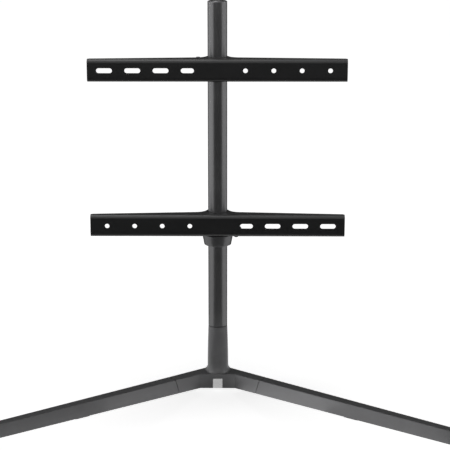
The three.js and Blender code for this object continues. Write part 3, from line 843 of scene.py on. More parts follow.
@dataclass(frozen=True)
class LegLine:
    """How a leg runs from the hub's facet, in its own frame.

    X runs outward from the corner of the facet, Y from the leg's inner face to
    its outer one, and Z up from its underside.
    """

    angle: float = 36.25
    corner_x: float = 32.0
    corner_y: float = -35.0
    floor: float = 3.0
    length: float = 500.0
    root_width: float = 22.5
    root_height: float = 27.3
    tip_width: float = 17.0
    tip_height: float = 23.7
    joint_foot: float = 46.3
    joint_top: float = 55.0
    gap: float = 0.3

    def along(self) -> Vector:
        """The direction of the right leg."""
        turned = math.radians(self.angle)
        return Vector((math.cos(turned), -math.sin(turned)))

    def across(self) -> Vector:
        """The direction from the right leg's inner face to its outer one."""
        turned = math.radians(self.angle)
        return Vector((math.sin(turned), math.cos(turned)))

    def joint(self, height: float) -> float:
        """Where the slanted joint with the hub is at a height."""
        return self.joint_foot + (self.joint_top - self.joint_foot) * height / self.root_height

    def share(self, place: float) -> float:
        """How far a place is along the taper."""
        return max(0.0, (place - self.joint_top) / (self.length - self.joint_top))

    def width(self, place: float) -> float:
        """The leg's width at a place."""
        return self.root_width + (self.tip_width - self.root_width) * self.share(place)

    def height(self, place: float) -> float:
        """The leg's height at a place."""
        return self.root_height + (self.tip_height - self.root_height) * self.share(place)

    def matrix(self, side: Side) -> Matrix:
        """The leg's own frame on the right, or its mirror image on the left."""
        placed = at(self.corner_x, self.corner_y, self.floor) @ turn(-self.angle, "Z")
        return placed if side is Side.RIGHT else Matrix.Diagonal((-1, 1, 1, 1)) @ placed


@dataclass(frozen=True)
class Leg:
    """One cast leg with its two feet and two screws."""

    side: Side
    line: LegLine = LegLine()
    edge: float = 1.1
    foot_edge: float = 0.5
    foot_share: float = 0.5  # how much of a ring's inset its underside takes
    end_edge: float = 0.5
    end_round: float = 0.12
    joint_gap: float = 1.1
    lip: Pair = (1.3, 0.12)  # how far it is drawn in, and how far it stops from the hub
    stations: Tuple[float, ...] = (90.0, 180.0, 290.0, 400.0)
    tip_long: float = 2.5
    tip_in: float = 2.0
    tip_back: float = 0.2
    wall: float = 3.5
    roof: float = 4.0
    roof_corner: float = 2.0
    reliefs: Tuple[Pair, ...] = ((110.0, 228.0), (272.0, 440.0))
    pad_places: Tuple[float, ...] = (250.0, 474.0)
    pad_size: Triple = (32.0, 10.0, 4.0)
    pad_seat: float = 1.5
    pad_edge: float = 0.6
    tongue: Triple = (45.0, 13.5, 12.0)
    tongue_floor: float = 8.0
    screw: Screw = Screw(shank=3.0, length=12.0, head=5.0, head_height=3.4, key=2.1)
    screw_shares: Tuple[float, ...] = (0.25, 0.73)

    def section(self, place: float, inset: float) -> List[Pair]:
        """The leg's outline across at a place, as Y and Z pairs.

        Args:
            place: The place along the leg.
            inset: How far the outline is drawn in.

        Returns:
            The outline, turning left.
        """
        width, height = self.line.width(place), self.line.height(place)
        low, high, foot, top = inset, width - inset, inset * self.foot_share, height - inset
        edge, under = self.edge, self.foot_edge
        return [
            *arc((high - under, foot + under), under, -90, 0, 3),
            *arc((high - edge, top - edge), edge, 0, 90, 5),
            *arc((low + edge, top - edge), edge, 90, 180, 5),
            *arc((low + under, foot + under), under, 180, 270, 3),
        ]

    def bar(self) -> Solid:
        """The leg's outer form, from the slanted joint to the rounded tip.

        Returns:
            The form, with the lip that stands inside the joint.
        """
        line, ease = self.line, self.end_round
        lip_in, lip_gap = self.lip
        root = [(lip_in, lip_gap - self.joint_gap), (lip_in, 0.0)]
        root += [(self.end_edge, 0.0), (ease, ease), (0.0, self.end_edge)]
        rings = []
        for inset, out in root:
            outline = self.section(line.joint_top, inset)
            rings.append([Vector((line.joint(z) + self.joint_gap + out, y, z)) for y, z in outline])
        start = line.length - self.tip_long - self.tip_back
        places = [(place, 0.0) for place in (*self.stations, start)]
        for along, drawn in quarter(6)[1:]:
            places.append((start + self.tip_long * along, self.tip_in * drawn))
        rings += [Across.X.ring(self.section(place, inset), place) for place, inset in places]
        return Solid.skinned(rings)

    def relief(self, start: float, end: float) -> Solid:
        """The cutter for the hollow under a stretch of the leg.

        Args:
            start: Where the stretch starts along the leg.
            end: Where it ends.

        Returns:
            The cutter.
        """
        rings, corner = [], self.roof_corner
        for place in (start, end):
            middle = self.line.width(place) / 2
            half = (self.line.width(place) - 2 * self.wall) / 2
            top = self.line.height(place) - self.roof
            outline = [
                (middle + half, -OVERRUN),
                *arc((middle + half - corner, top - corner), corner, 0, 90, 4),
                *arc((middle - half + corner, top - corner), corner, 90, 180, 4),
                (middle - half, -OVERRUN),
            ]
            rings.append(Across.X.ring(outline, place))
        return Solid.skinned(rings)

    def tongue_box(self, clearance: float) -> Solid:
        """The hub's tongue inside the leg, or its socket.

        Args:
            clearance: How much the socket is larger all round; none for the tongue.

        Returns:
            The block.
        """
        long, wide, high = self.tongue
        middle, half = self.line.root_width / 2, wide / 2 + clearance
        low = (self.line.joint_foot - OVERRUN, middle - half, self.tongue_floor - clearance)
        end = self.line.joint_top + long + clearance
        return Solid.box(low, (end, middle + half, self.tongue_floor + high + clearance))

    def screw_places(self) -> List[float]:
        """Where the two screws are along the leg."""
        return [self.line.joint_top + share * self.tongue[0] for share in self.screw_shares]

    def screw_hole(self, place: float) -> Solid:
        """The cutter for the stepped hole of one screw, from below.

        Args:
            place: The screw's place along the leg.

        Returns:
            The cutter.
        """
        screw, gap, seat = self.screw, self.line.gap, self.screw.head_height + self.line.gap
        wide, narrow = screw.head + gap, screw.shank + gap
        profile = [(wide, -OVERRUN), (wide, seat + gap), (narrow, seat + gap)]
        profile.append((narrow, seat + screw.length + DRILL_ROOM))
        cutter = Solid.turned(profile, screw.sides)
        return cutter.moved(at(place, self.line.root_width / 2, 0))

    def build(self) -> None:
        """Make the leg, its feet and its screws."""
        line, name = self.line, self.side.value
        matrix = line.matrix(self.side)
        long, wide, corner = self.pad_size
        cuts = [self.tongue_box(line.gap)]
        cuts += [self.relief(start, end) for start, end in self.reliefs]
        cuts += [self.screw_hole(place) for place in self.screw_places()]
        pad = rounded(long, wide, corner)
        pad = Solid.prism(pad, -line.floor, self.pad_seat - line.gap, Across.Z)
        pad = pad.eased(self.pad_edge, 3)
        seat = rounded(long + 2 * line.gap, wide + 2 * line.gap, corner + line.gap)
        middles = [at(place, line.width(place) / 2, 0) for place in self.pad_places]
        for middle in middles:
            cuts.append(Solid.prism(seat, -OVERRUN, self.pad_seat, Across.Z).moved(middle))
        self.bar().less(*cuts).moved(matrix).piece(f"leg_{name}", CAST)
        for spot, middle in zip(("middle", "tip"), middles):
            pad.moved(matrix @ middle).piece(f"foot_{name}_{spot}", RUBBER)
        for count, place in enumerate(self.screw_places(), 1):
            seat_at = at(place, line.root_width / 2, self.screw.head_height + line.gap)
            self.screw.solid().moved(matrix @ seat_at).piece(f"leg_screw_{name}_{count}", BLACKED)


@dataclass(frozen=True)
class Hub:
    """The hub casting: a V with a front facet, and a neck that ends round."""

    line: LegLine = LegLine()
    swell: float = 5.0
    edge: float = 1.1
    foot_edge: float = 0.5
    facet_fillet: float = 2.4
    neck_top: float = 115.2
    neck_radius: float = 17.6
    neck_edge: float = 0.5
    root_half: float = 19.2
    root_power: float = 3.4
    side_fillet_height: float = 8.0
    front_fillet_height: float = 25.0
    fillet_side: float = 5.0
    fillet_front: float = 18.5
    fillet_power: float = 1.8
    fillet_inset: float = 1.0
    neck_points: int = 128
    neck_steps: int = 10
    bush_bore: float = 12.4
    pilot_bore: float = 7.3
    web_top: float = 24.0
    well_top: float = 14.0
    well_radius: float = 13.5
    pad_radius: float = 17.2
    pad_seat: float = 1.5
    pad_ease: float = 0.3
    pad_rim: Tuple[Pair, ...] = ((0.6, 0.0), (0.2, 0.2), (0.0, 0.7))  # in from the side, and up
    tread: Tuple[Pair, ...] = ((6.0, 0.6), (9.0, 0.6), (9.4, 0.0))  # radius and height
    plate_size: Pair = (17.7, 18.4)
    plate_corner: float = 1.0
    plate_edge: float = 0.3
    plate_thickness: float = 1.2
    plate_seat: float = 1.0
    groove_radii: Pair = (9.0, 12.2)  # inner and outer
    groove_half: float = 45.0
    groove_deep: float = 3.3
    bush_radii: Triple = (10.1, 12.1, 17.35)  # bore, sleeve and flange
    bush_length: float = 24.7
    bush_flange: float = 1.0
    bush_ease: float = 0.2

    def top(self) -> float:
        """The height of the V's flat top."""
        return self.line.floor + self.line.root_height

    def outline(self, inset: float, height: float) -> List[Pair]:
        """The V seen from above.

        Args:
            inset: How far the outline is drawn in.
            height: The height above its underside, which sets the stubs' ends.

        Returns:
            The outline, turning left.
        """
        line = self.line
        along, across = line.along(), line.across()
        origin = Vector((line.corner_x, line.corner_y))
        half = math.radians(line.angle) / 2
        corner = Vector((line.corner_x + inset * math.tan(half), line.corner_y + inset))
        radius = self.facet_fillet + inset
        centre = (corner.x - radius * math.tan(half), corner.y - radius)
        fillet = arc(centre, radius, 90, 90 - line.angle, 6)
        joint, beyond = line.joint(height), line.joint_top + OVERRUN
        inner = origin + along * joint + across * inset
        far = origin + along * beyond + across * (line.root_width - inset)
        apex = Vector((0.0, far.y + far.x * math.tan(2 * half) + self.swell))
        back = (apex - origin).dot(along)
        reach = (beyond - joint) / (beyond - back)
        outer = far + (apex - far) * reach
        right = [*fillet, tuple(inner), tuple(outer)]
        left = [(-x, y) for x, y in reversed(right)]
        return [*right, tuple(apex), *left]

    def body(self) -> Solid:
        """The V with its rounded edges and slanted stub ends.

        Returns:
            The V.
        """
        line, foot, edge = self.line, self.foot_edge, self.edge
        rings = [(foot * (1 - along), foot * drawn) for along, drawn in quarter(2)]
        for along, drawn in quarter(6):
            rings.append((edge * drawn, line.root_height - edge * (1 - along)))
        return Solid.skinned(
            [Across.Z.ring(self.outline(out, rise), line.floor + rise) for out, rise in rings]
        )

    def neck_ring(self, height: float, half: float, power: float, growth: Pair) -> Ring:
        """One ring of the neck.

        Args:
            height: Its height.
            half: Half its width before the fillet.
            power: How square it is; 2 is round.
            growth: The fillet's share at the sides, and at the front.

        Returns:
            The ring.
        """
        ring = []
        for x, y in circle(1.0, self.neck_points):
            front = growth[1] if y < 0 else 0.0
            bend = 2 / (power + (self.fillet_power - power) * front)
            wide = half + self.fillet_side * growth[0]
            deep = half + self.fillet_front * front
            across = math.copysign(abs(x) ** bend, x) * wide
            ring.append(Vector((across, math.copysign(abs(y) ** bend, y) * deep, height)))
        return ring

    def ring_at(self, height: float, inset: float = 0.0) -> Ring:
        """The neck's ring at a height, with the part of the fillet that reaches it.

        Args:
            height: The height.
            inset: How far the ring is drawn in.

        Returns:
            The ring.
        """
        rise = max(0.0, height - self.top())
        growth = []
        for reach in (self.side_fillet_height, self.front_fillet_height):
            left = 1 - min(1.0, rise / reach)
            growth.append(1 - math.sqrt(1 - left ** 2))
        share = min(1.0, (self.neck_top - height) / (self.neck_top - self.top()))
        swell = (self.root_half - self.neck_radius) * math.sin(math.pi / 2 * share)
        power = 2 + (self.root_power - 2) * share
        return self.neck_ring(height, self.neck_radius + swell - inset, power, tuple(growth))

    def neck(self) -> Solid:
        """The neck, square at its root, with the fillet that lands on the V.

        Returns:
            The neck, clipped to the V where the fillet runs out.
        """
        top, low, edge = self.top(), self.line.floor, self.neck_edge
        foot, last = top + self.front_fillet_height, self.neck_top - edge
        steps = self.neck_steps
        rings = [self.ring_at(low)]
        rings += [self.ring_at(top + self.front_fillet_height * rise) for _, rise in quarter(24)]
        rings += [self.ring_at(foot + (last - foot) * (step + 1) / steps) for step in range(steps)]
        rings += [self.ring_at(last + edge * rise, edge * drawn) for rise, drawn in quarter(3)[1:]]
        clip_top = self.neck_top + OVERRUN
        ends = [
            self.neck_ring(end, self.root_half, self.root_power, (0.0, 0.0))
            for end in (low, clip_top)
        ]
        outline = self.outline(self.fillet_inset, self.line.root_height)
        clip = Solid.prism(outline, low, clip_top, Across.Z)
        return Solid.skinned(rings).within(clip.plus(Solid.skinned(ends)))

    def groove(self) -> Solid:
        """The cutter for the arc in the web that the stop's tab runs in.

        Returns:
            The cutter.
        """
        inner, outer = self.groove_radii
        low, high = 90 - self.groove_half, 90 + self.groove_half
        centre = (0.0, 0.0)
        outline = [*arc(centre, outer, low, high, 24), *arc(centre, inner, high, low, 24)]
        foot, top = self.well_top - OVERRUN, self.well_top + self.groove_deep
        return Solid.prism(outline, foot, top, Across.Z)

    def build(self) -> None:
        """Make the casting, its plate, its foot and the upper bush."""
        line = self.line
        legs = [(Leg(side), line.matrix(side)) for side in Side]
        hub = self.body().plus(self.neck())
        hub = hub.plus(*[leg.tongue_box(0.0).moved(matrix) for leg, matrix in legs])
        for leg, matrix in legs:
            hub = hub.less(*[leg.screw_hole(place).moved(matrix) for place in leg.screw_places()])
        under, seat = line.floor - OVERRUN, self.pad_radius + line.gap
        bore = [
            (self.well_radius, under),
            (self.well_radius, self.well_top),
            (self.pilot_bore, self.well_top),
            (self.pilot_bore, self.web_top),
            (self.bush_bore, self.web_top),
            (self.bush_bore, self.neck_top + OVERRUN),
        ]
        pad = [(seat, under), (seat, line.floor + self.pad_seat)]
        wide, high = self.plate_size
        half = wide / 2 + line.gap
        pocket = Solid.box(
            (-half, line.corner_y - OVERRUN, under),
            (half, line.corner_y + self.plate_seat, line.floor + high + 2 * line.gap),
        )
        hub = hub.less(Solid.turned(bore), Solid.turned(pad), self.groove(), pocket)
        hub.piece("hub_casting", CAST)
        back = line.corner_y + self.plate_seat - line.gap
        outline = rounded(wide, high, self.plate_corner, 6)
        plate = Solid.prism(outline, back - self.plate_thickness, back, Across.Y)
        middle = at(0, 0, line.floor + line.gap + high / 2)
        plate.eased(self.plate_edge, 3).moved(middle).piece("front_plate", PLATE)
        self.build_foot()
        self.build_bush()

    def build_foot(self) -> None:
        """Make the round rubber foot, with a shallow hollow in its tread."""
        out, ease = self.pad_radius, self.pad_ease
        top = self.line.floor + self.pad_seat - self.line.gap
        rim = [(out - inset, rise) for inset, rise in self.pad_rim]
        profile = [*self.tread, *rim, (out, top - ease), (out - ease, top)]
        Solid.turned(profile).piece("foot_hub", RUBBER)

    def build_bush(self) -> None:
        """Make the upper bush, whose flange is the dark line at the neck's top."""
        bore, sleeve, flange = self.bush_radii
        under = self.neck_top + self.line.gap
        top, foot, ease = under + self.bush_flange, under - self.bush_length, self.bush_ease
        profile = [
            (bore, foot), (sleeve, foot), (sleeve, under), (flange, under),
            (flange, top - ease), (flange - ease, top), (bore, top),
        ]
        Solid.turned(profile, 96, True).piece("neck_bush_upper", GREY_NYLON)


# Column: pole, cap and the screws that fix it


@dataclass(frozen=True)
class Column:
    """The pole with its cap and its two screws."""

    radius: float = 17.5
    wall: float = 1.5
    foot: float = 116.8
    top: float = 716.0
    lip: float = 0.4
    lengths: int = 8  # how many lengths its side is made in
    cap_skirt: float = 15.0
    cap_ease: float = 0.6
    cap_rim: float = 16.6
    cap_dome: float = 4.2
    crown: float = 89.4  # the angle in degrees that the dome's last ring stands at
    screw: Screw = Screw(shank=2.5, length=9.0, head=4.6, head_height=2.4, key=1.6)
    screw_heights: Tuple[float, ...] = (130.66, 146.62)
    gap: float = 0.3
    sides: int = 128

    def build(self) -> None:
        """Make the pole, the cap and the screws."""
        foot, top, lip = self.foot, self.top, self.lip
        out, bore = self.radius, self.radius - self.wall
        parts = self.lengths
        tube = [
            (bore, foot), (out - lip, foot), (out, foot + lip),
            *[(out, foot + (top - foot) * part / parts) for part in range(1, parts)],
            (out, top - lip), (out - lip, top), (bore, top),
        ]
        Solid.turned(tube, self.sides, True).piece("pole_tube", TUBE)
        seat, ease = top + self.gap, self.cap_ease
        sphere = (self.cap_rim ** 2 + self.cap_dome ** 2) / (2 * self.cap_dome)
        spread = math.degrees(math.asin(self.cap_rim / sphere))
        dome = arc((0.0, seat + self.cap_dome - sphere), sphere, 90 - spread, self.crown, 14)
        dome = [(min(x, self.cap_rim), z) for x, z in dome]
        plug, under = bore - self.gap, top - self.cap_skirt
        skirt = [(plug - ease, under), (plug, under + ease), (plug, seat)]
        Solid.turned([*skirt, *dome], self.sides).piece("pole_cap", TUBE)
        for count, height in enumerate(self.screw_heights, 1):
            place = at(0, self.radius + self.gap, height) @ turn(90, "X")
            self.screw.solid().moved(place).piece(f"pole_screw_{count}", BLACKED)


# Carriages: cross rails, their blocks, sleeves and screws


@dataclass(frozen=True)
class Rail:
    """A folded cross rail, in its own frame on the pole's axis.

    X runs along the rail with its slots at -X, and Z is up from its row of holes.
    """

    length: float = 461.0
    height: float = 40.5
    sheet: float = 2.5
    bend: float = 7.2
    face: float = -35.0
    end_depth: float = 11.8
    taper_depth: float = 27.1
    taper_place: float = 40.0
    end_corner: float = 6.0
    lug_radius: float = 21.5
    lug_fillet: float = 21.0
    bore: float = 19.1
    pitch: float = 50.0
    round_hole: float = 8.4
    slots: Tuple[Pair, ...] = ((52.6, 23.2), (100.0, 28.2), (150.0, 28.2), (200.0, 28.2))
    slot_width: float = 8.8
    edge: float = 0.2
    end_edge: float = 0.5
    bend_steps: int = 9

    def stations(self) -> List[Pair]:
        """How the flanges' rear edge runs on the right half.

        Returns:
            Places along the rail with the edge's depth, from the end to the middle.
        """
        half = self.length / 2
        run = Vector((self.taper_place - half, self.taper_depth - self.end_depth)).normalized()
        normal = Vector((run.y, -run.x))
        end = Vector((half, self.face + self.end_depth))
        corner = Vector((half - self.end_corner, 0.0))
        corner.y = end.y + (-self.end_corner - (corner.x - end.x) * normal.x) / normal.y
        offset = end.dot(normal) + self.lug_fillet
        reach = self.lug_radius + self.lug_fillet
        fillet = normal * offset - run * math.sqrt(reach ** 2 - offset ** 2)
        lean = math.degrees(math.atan2(normal.y, normal.x))
        to_lug = math.degrees(math.atan2(fillet.y, fillet.x))
        first = math.degrees(math.acos(1 - self.edge / self.end_corner))
        return [
            *arc(tuple(corner), self.end_corner, first, lean, 8),
            *arc(tuple(fillet), self.lug_fillet, lean - 180, to_lug - 180, 12),
            *arc((0.0, 0.0), self.lug_radius, to_lug, 90, 16)[1:],
        ]

    def section(self, depth: float, inset: float) -> List[Pair]:
        """The folded section, as Y and Z pairs.

        Args:
            depth: Where the flanges end, along Y.
            inset: How far the sheet's skin is drawn in.

        Returns:
            The outline, turning left.
        """
        half, face = self.height / 2 - inset, self.face + inset
        sheet = self.sheet - 2 * inset
        outer = self.bend - inset
        inner = self.bend - self.sheet + inset
        steps = self.bend_steps
        turn_at = (self.face + self.bend, self.height / 2 - self.bend)
        low = (turn_at[0], -turn_at[1])
        rear, edge = depth - inset, self.edge
        return [
            (rear - edge, half), *arc(turn_at, outer, 90, 180, steps),
            *arc(low, outer, 180, 270, steps), (rear - edge, -half), (rear, edge - half),
            (rear, sheet - half - edge), (rear - edge, sheet - half),
            *arc(low, inner, 270, 180, steps), *arc(turn_at, inner, 180, 90, steps),
            (rear - edge, half - sheet), (rear, half - sheet + edge), (rear, half - edge),
        ]

    def through(self, low: float, high: float) -> List[Pair]:
        """How a cutter with eased rims runs through a sheet.

        Args:
            low: Where the sheet starts.
            high: Where it ends.

        Returns:
            Places across the sheet, with how much wider the cutter is there.
        """
        edge, flare = self.edge, self.edge + FLARE
        return [(low - FLARE, flare), (low + edge, 0.0), (high - edge, 0.0), (high + FLARE, flare)]

    def hole(self, place: float, long: float, wide: float) -> Solid:
        """The cutter for a hole or slot through the face, with eased rims.

        Args:
            place: The hole's place along the rail.
            long: Its length.
            wide: Its width.

        Returns:
            The cutter.
        """
        rings = []
        for y, grown in self.through(self.face, self.face + self.sheet):
            outline = rounded(long + 2 * grown, wide + 2 * grown, wide / 2 + grown, 12)
            rings.append(Across.Y.ring([(x + place, z) for x, z in outline], y))
        return Solid.skinned(rings)

    def spool(self) -> Solid:
        """The cutter for the bore through both flanges, with eased rims.

        Returns:
            The cutter.
        """
        half = self.height / 2
        upper = [(self.bore + grown, z) for z, grown in self.through(half - self.sheet, half)]
        lower = [(radius, -height) for radius, height in reversed(upper)]
        return Solid.turned([*lower, *upper], 112)

    def solid(self, sunk_hole: Solid) -> Solid:
        """The rail with its bore, holes and slots.

        Args:
            sunk_hole: The cutter for the sunk screw.

        Returns:
            The rail.
        """
        (_, end_y), *rest = self.stations()
        tip, edge = self.length / 2, self.end_edge
        right = [
            (tip - edge * (1 - along), end_y, edge * drawn) for along, drawn in reversed(quarter(3))
        ]
        right += [(x, y, 0.0) for x, y in rest]
        every = [*right, *[(-x, y, inset) for x, y, inset in reversed(right[:-1])]]
        bar = Solid.skinned([Across.X.ring(self.section(y, inset), x) for x, y, inset in every])
        cuts = [self.spool(), sunk_hole]
        for count, (place, long) in enumerate(self.slots, 1):
            cuts.append(self.hole(-place, long, self.slot_width))
            cuts.append(self.hole(count * self.pitch, self.round_hole, self.round_hole))
        return bar.less(*cuts)


@dataclass(frozen=True)
class Carriage:
    """A cross rail with what holds it on the pole.

    Attributes:
        label: Which carriage it is.
        height: The height of its row of holes.
        turned: Whether the rail is turned end for end.
    """

    label: str
    height: float
    turned: bool
    rail: Rail = Rail()
    gap: float = 0.3
    sleeve_bore: float = 17.6
    sleeve_radius: float = 18.8
    sleeve_length: float = 11.0
    sleeve_recess: float = 0.4
    sleeve_ease: float = 0.3
    flange_radius: float = 21.2
    flange_rim: Tuple[Pair, ...] = ((0.4, 0.0), (0.1, 0.15), (0.0, 0.5))  # in from it, and up
    flange: float = 1.6
    block_wall: float = 2.7
    block_edge: float = 0.5
    block_half: float = 30.0
    block_rear: float = -10.0
    ear_half: float = 43.0
    ear_rear: float = -9.0
    ear_high: float = 10.5
    boss_radius: float = 9.0
    boss_start: float = 2.0
    boss_length: float = 32.0
    clamp_reach: Pair = (4.0, 40.0)  # where the clamp screw's hole starts and ends
    screw_x: float = 34.0
    screw_y: float = -21.5
    raised: Screw = Screw(shank=2.2, length=10.0, head=3.4, head_height=2.5, key=1.5)
    sunk: Screw = Screw(
        shank=2.2, length=11.0, head=4.0, head_height=2.0, key=1.4, kind=Head.SUNK
    )
    clamp: Screw = Screw(shank=4.0, length=12.2, head=6.5, head_height=6.0, key=3.2)

    def frame(self) -> Matrix:
        """The rail's own frame in its place."""
        return at(0, 0, self.height) @ (turn(180, "Y") if self.turned else Matrix.Identity(4))

    def sunk_hole(self) -> Solid:
        """The cutter for the sunk screw's hole, from the rail's underside.

        Returns:
            The cutter.
        """
        screw = self.sunk
        wide, narrow = screw.head + self.gap, screw.shank + self.gap
        profile = [(wide, -OVERRUN), (wide, 0.0), (narrow, screw.head_height)]
        profile.append((narrow, screw.length + DRILL_ROOM))
        place = at(self.screw_x, self.screw_y, -self.rail.height / 2)
        return Solid.turned(profile, screw.sides).moved(place)

    def raised_hole(self) -> Solid:
        """The cutter for the raised screw's hole, from the rail's upper side.

        Returns:
            The cutter.
        """
        top, radius = self.rail.height / 2, self.raised.shank + self.gap
        foot = top + self.gap - self.raised.length - DRILL_ROOM
        hole = Solid.prism(circle(radius, 32), foot, top + OVERRUN, Across.Z)
        return hole.moved(at(-self.screw_x, self.screw_y, 0))

    def bar(self, ends: Pair, rear: float, reach: Pair) -> Solid:
        """A bar of the block, whose front corners follow the inside of the bends.

        Args:
            ends: Where it starts and ends along the rail.
            rear: Where its flat back is.
            reach: Its lowest and highest point.

        Returns:
            The bar.
        """
        corner = self.rail.bend - self.rail.sheet - self.gap
        front = self.rail.face + self.rail.bend
        low, high = reach
        outline = [
            (rear, low), (rear, high),
            *arc((front, high - corner), corner, 90, 180, 6),
            *arc((front, low + corner), corner, 180, 270, 6),
        ]
        return Solid.prism(outline, *ends, Across.X)

    def block(self) -> Solid:
        """The block inside the rail, with its boss and its two ears.

        Returns:
            The block with its holes.
        """
        bore, high = self.rail.bore, self.rail.height / 2 - self.rail.sheet - self.gap
        half, ear, rear = self.block_half, self.ear_half, self.ear_rear
        block = Solid.prism(circle(bore + self.block_wall, 96), -high, high, Across.Z).plus(
            self.bar((-half, half), self.block_rear, (-high, high)),
            self.bar((-ear, OVERRUN - half), rear, (high - self.ear_high, high)),
            self.bar((half - OVERRUN, ear), rear, (-high, self.ear_high - high)),
            Solid.prism(circle(self.boss_radius, 64), self.boss_start, self.boss_length, Across.Y),
        )
        clamp = circle(self.clamp.shank + self.gap, 48)
        block = block.less(
            Solid.prism(circle(bore, 112), -high - OVERRUN, high + OVERRUN, Across.Z),
            Solid.prism(clamp, *self.clamp_reach, Across.Y),
        )
        return block.eased(self.block_edge, 2).less(self.sunk_hole(), self.raised_hole())

    def sleeves(self) -> Dict[str, List[Pair]]:
        """The profiles of the two sleeves, each from its own foot up.

        Returns:
            Radius and height pairs, closed on themselves, under each sleeve's name.
        """
        half, sheet, ease = self.rail.height / 2, self.rail.sheet, self.sleeve_ease
        bore, out = self.sleeve_bore, self.sleeve_radius
        top, foot = half - self.sleeve_recess, half - sheet - self.sleeve_length
        seat = -half - self.gap
        under, rim = seat - self.flange, self.flange_radius
        lower_top = sheet + self.sleeve_length - half
        return {
            "top": [
                (bore, foot), (out, foot), (out, top - ease), (out - ease, top),
                (bore + ease, top), (bore, top - ease),
            ],
            "bottom": [
                (bore, under + ease), (bore + ease, under),
                *[(rim - inset, under + rise) for inset, rise in self.flange_rim],
                (rim, seat - ease), (rim - ease, seat), (out, seat), (out, lower_top),
                (bore, lower_top),
            ],
        }

    def build(self) -> None:
        """Make the rail, its block, sleeves and screws."""
        frame, lift = self.frame(), at(0, 0, self.height)
        label = self.label
        rail = self.rail.solid(self.sunk_hole()).less(self.raised_hole())
        rail.moved(frame).piece(f"{label}_rail", COAT)
        self.block().moved(frame).piece(f"{label}_clamp_block", CAST)
        for end, profile in self.sleeves().items():
            Solid.turned(profile, 112, True).moved(lift).piece(f"{label}_sleeve_{end}", NYLON)
        clamp_at = at(0, self.boss_length + self.gap, 0) @ turn(90, "X")
        self.clamp.solid().moved(lift @ clamp_at).piece(f"{label}_clamp_screw", BLACKED)
        raised_side, sunk_side = ("right", "left") if self.turned else ("left", "right")
        top = self.rail.height / 2
        raised_at = at(-self.screw_x, self.screw_y, top + self.gap) @ turn(180, "X")
        raised = self.raised.solid().moved(frame @ raised_at)
        raised.piece(f"{label}_rail_screw_{raised_side}", DULL_STEEL)
        sunk = self.sunk.solid().moved(frame @ at(self.screw_x, self.screw_y, -top))
        sunk.piece(f"{label}_rail_screw_{sunk_side}", BLACKED)


@dataclass(frozen=True)
class Collar:
    """The flared collar under the lower rail, with its grub screw."""

    foot: float = 272.1
    height: float = 19.45
    bore: float = 17.8
    foot_radius: float = 24.8
    waist_radius: float = 27.1
    waist: float = 12.5
    top_radius: float = 27.4
    edge: float = 1.0
    bore_ease: float = 0.4
    gap: float = 0.3
    screw_height: float = 10.0
    screw_reach: Pair = (9.0, 40.0)  # where the screw's hole starts and ends
    screw: Screw = Screw(
        shank=3.0, length=6.8, head=3.0, head_height=0.0, key=1.5, kind=Head.NONE
    )

    def build(self) -> None:
        """Make the collar and its screw."""
        foot, bore, edge, ease = self.foot, self.bore, self.edge, self.bore_ease
        top = foot + self.height
        profile = [
            *arc((self.foot_radius - edge, foot + edge), edge, -90, 0, 5),
            (self.waist_radius, foot + self.waist),
            *arc((self.top_radius - edge, top - edge), edge, 0, 90, 5),
            (bore + ease, top), (bore, top - ease), (bore, foot + ease), (bore + ease, foot),
        ]
        place = at(0, 0, foot + self.screw_height)
        hole = circle(self.screw.shank + self.gap, 40)
        cutter = Solid.prism(hole, *self.screw_reach, Across.Y).moved(place)
        Solid.turned(profile, 128, True).less(cutter).piece("height_collar", FLARED)
        screw_at = place @ at(0, bore + self.screw.length, 0) @ turn(90, "X")
        self.screw.solid().moved(screw_at).piece("collar_screw", BLACKED)


# Studio


@dataclass(frozen=True)
class Lamp:
    """A soft lamp that neither the camera nor a glossy surface shows.

    Attributes:
        name: Its name.
        place: Where it hangs, in metres.
        power: Its power in watts.
        aim: What it points at, in metres.
        size: Its width and height in metres.
    """

    name: str
    place: Triple
    power: float
    aim: Triple = (0.0, -0.1, 0.2)
    size: Pair = (1.6, 0.7)

    def build(self) -> None:
        """Hang the lamp."""
        data = bpy.data.lights.new(self.name, "AREA")
        data.shape = "RECTANGLE"
        data.size, data.size_y = self.size
        data.energy = self.power
        lamp = linked(self.name, data)
        lamp.location = self.place
        aim = Vector(self.aim) - Vector(self.place)
        lamp.rotation_euler = aim.to_track_quat("-Z", "Y").to_euler()
        lamp.visible_camera = False
        lamp.visible_glossy = False


def lying(near: float, far: float) -> Tuple[Pair, Pair]:
    """The profile of a card that lies on the floor."""
    return ((near, CARD_FOOT), (far, CARD_FOOT))


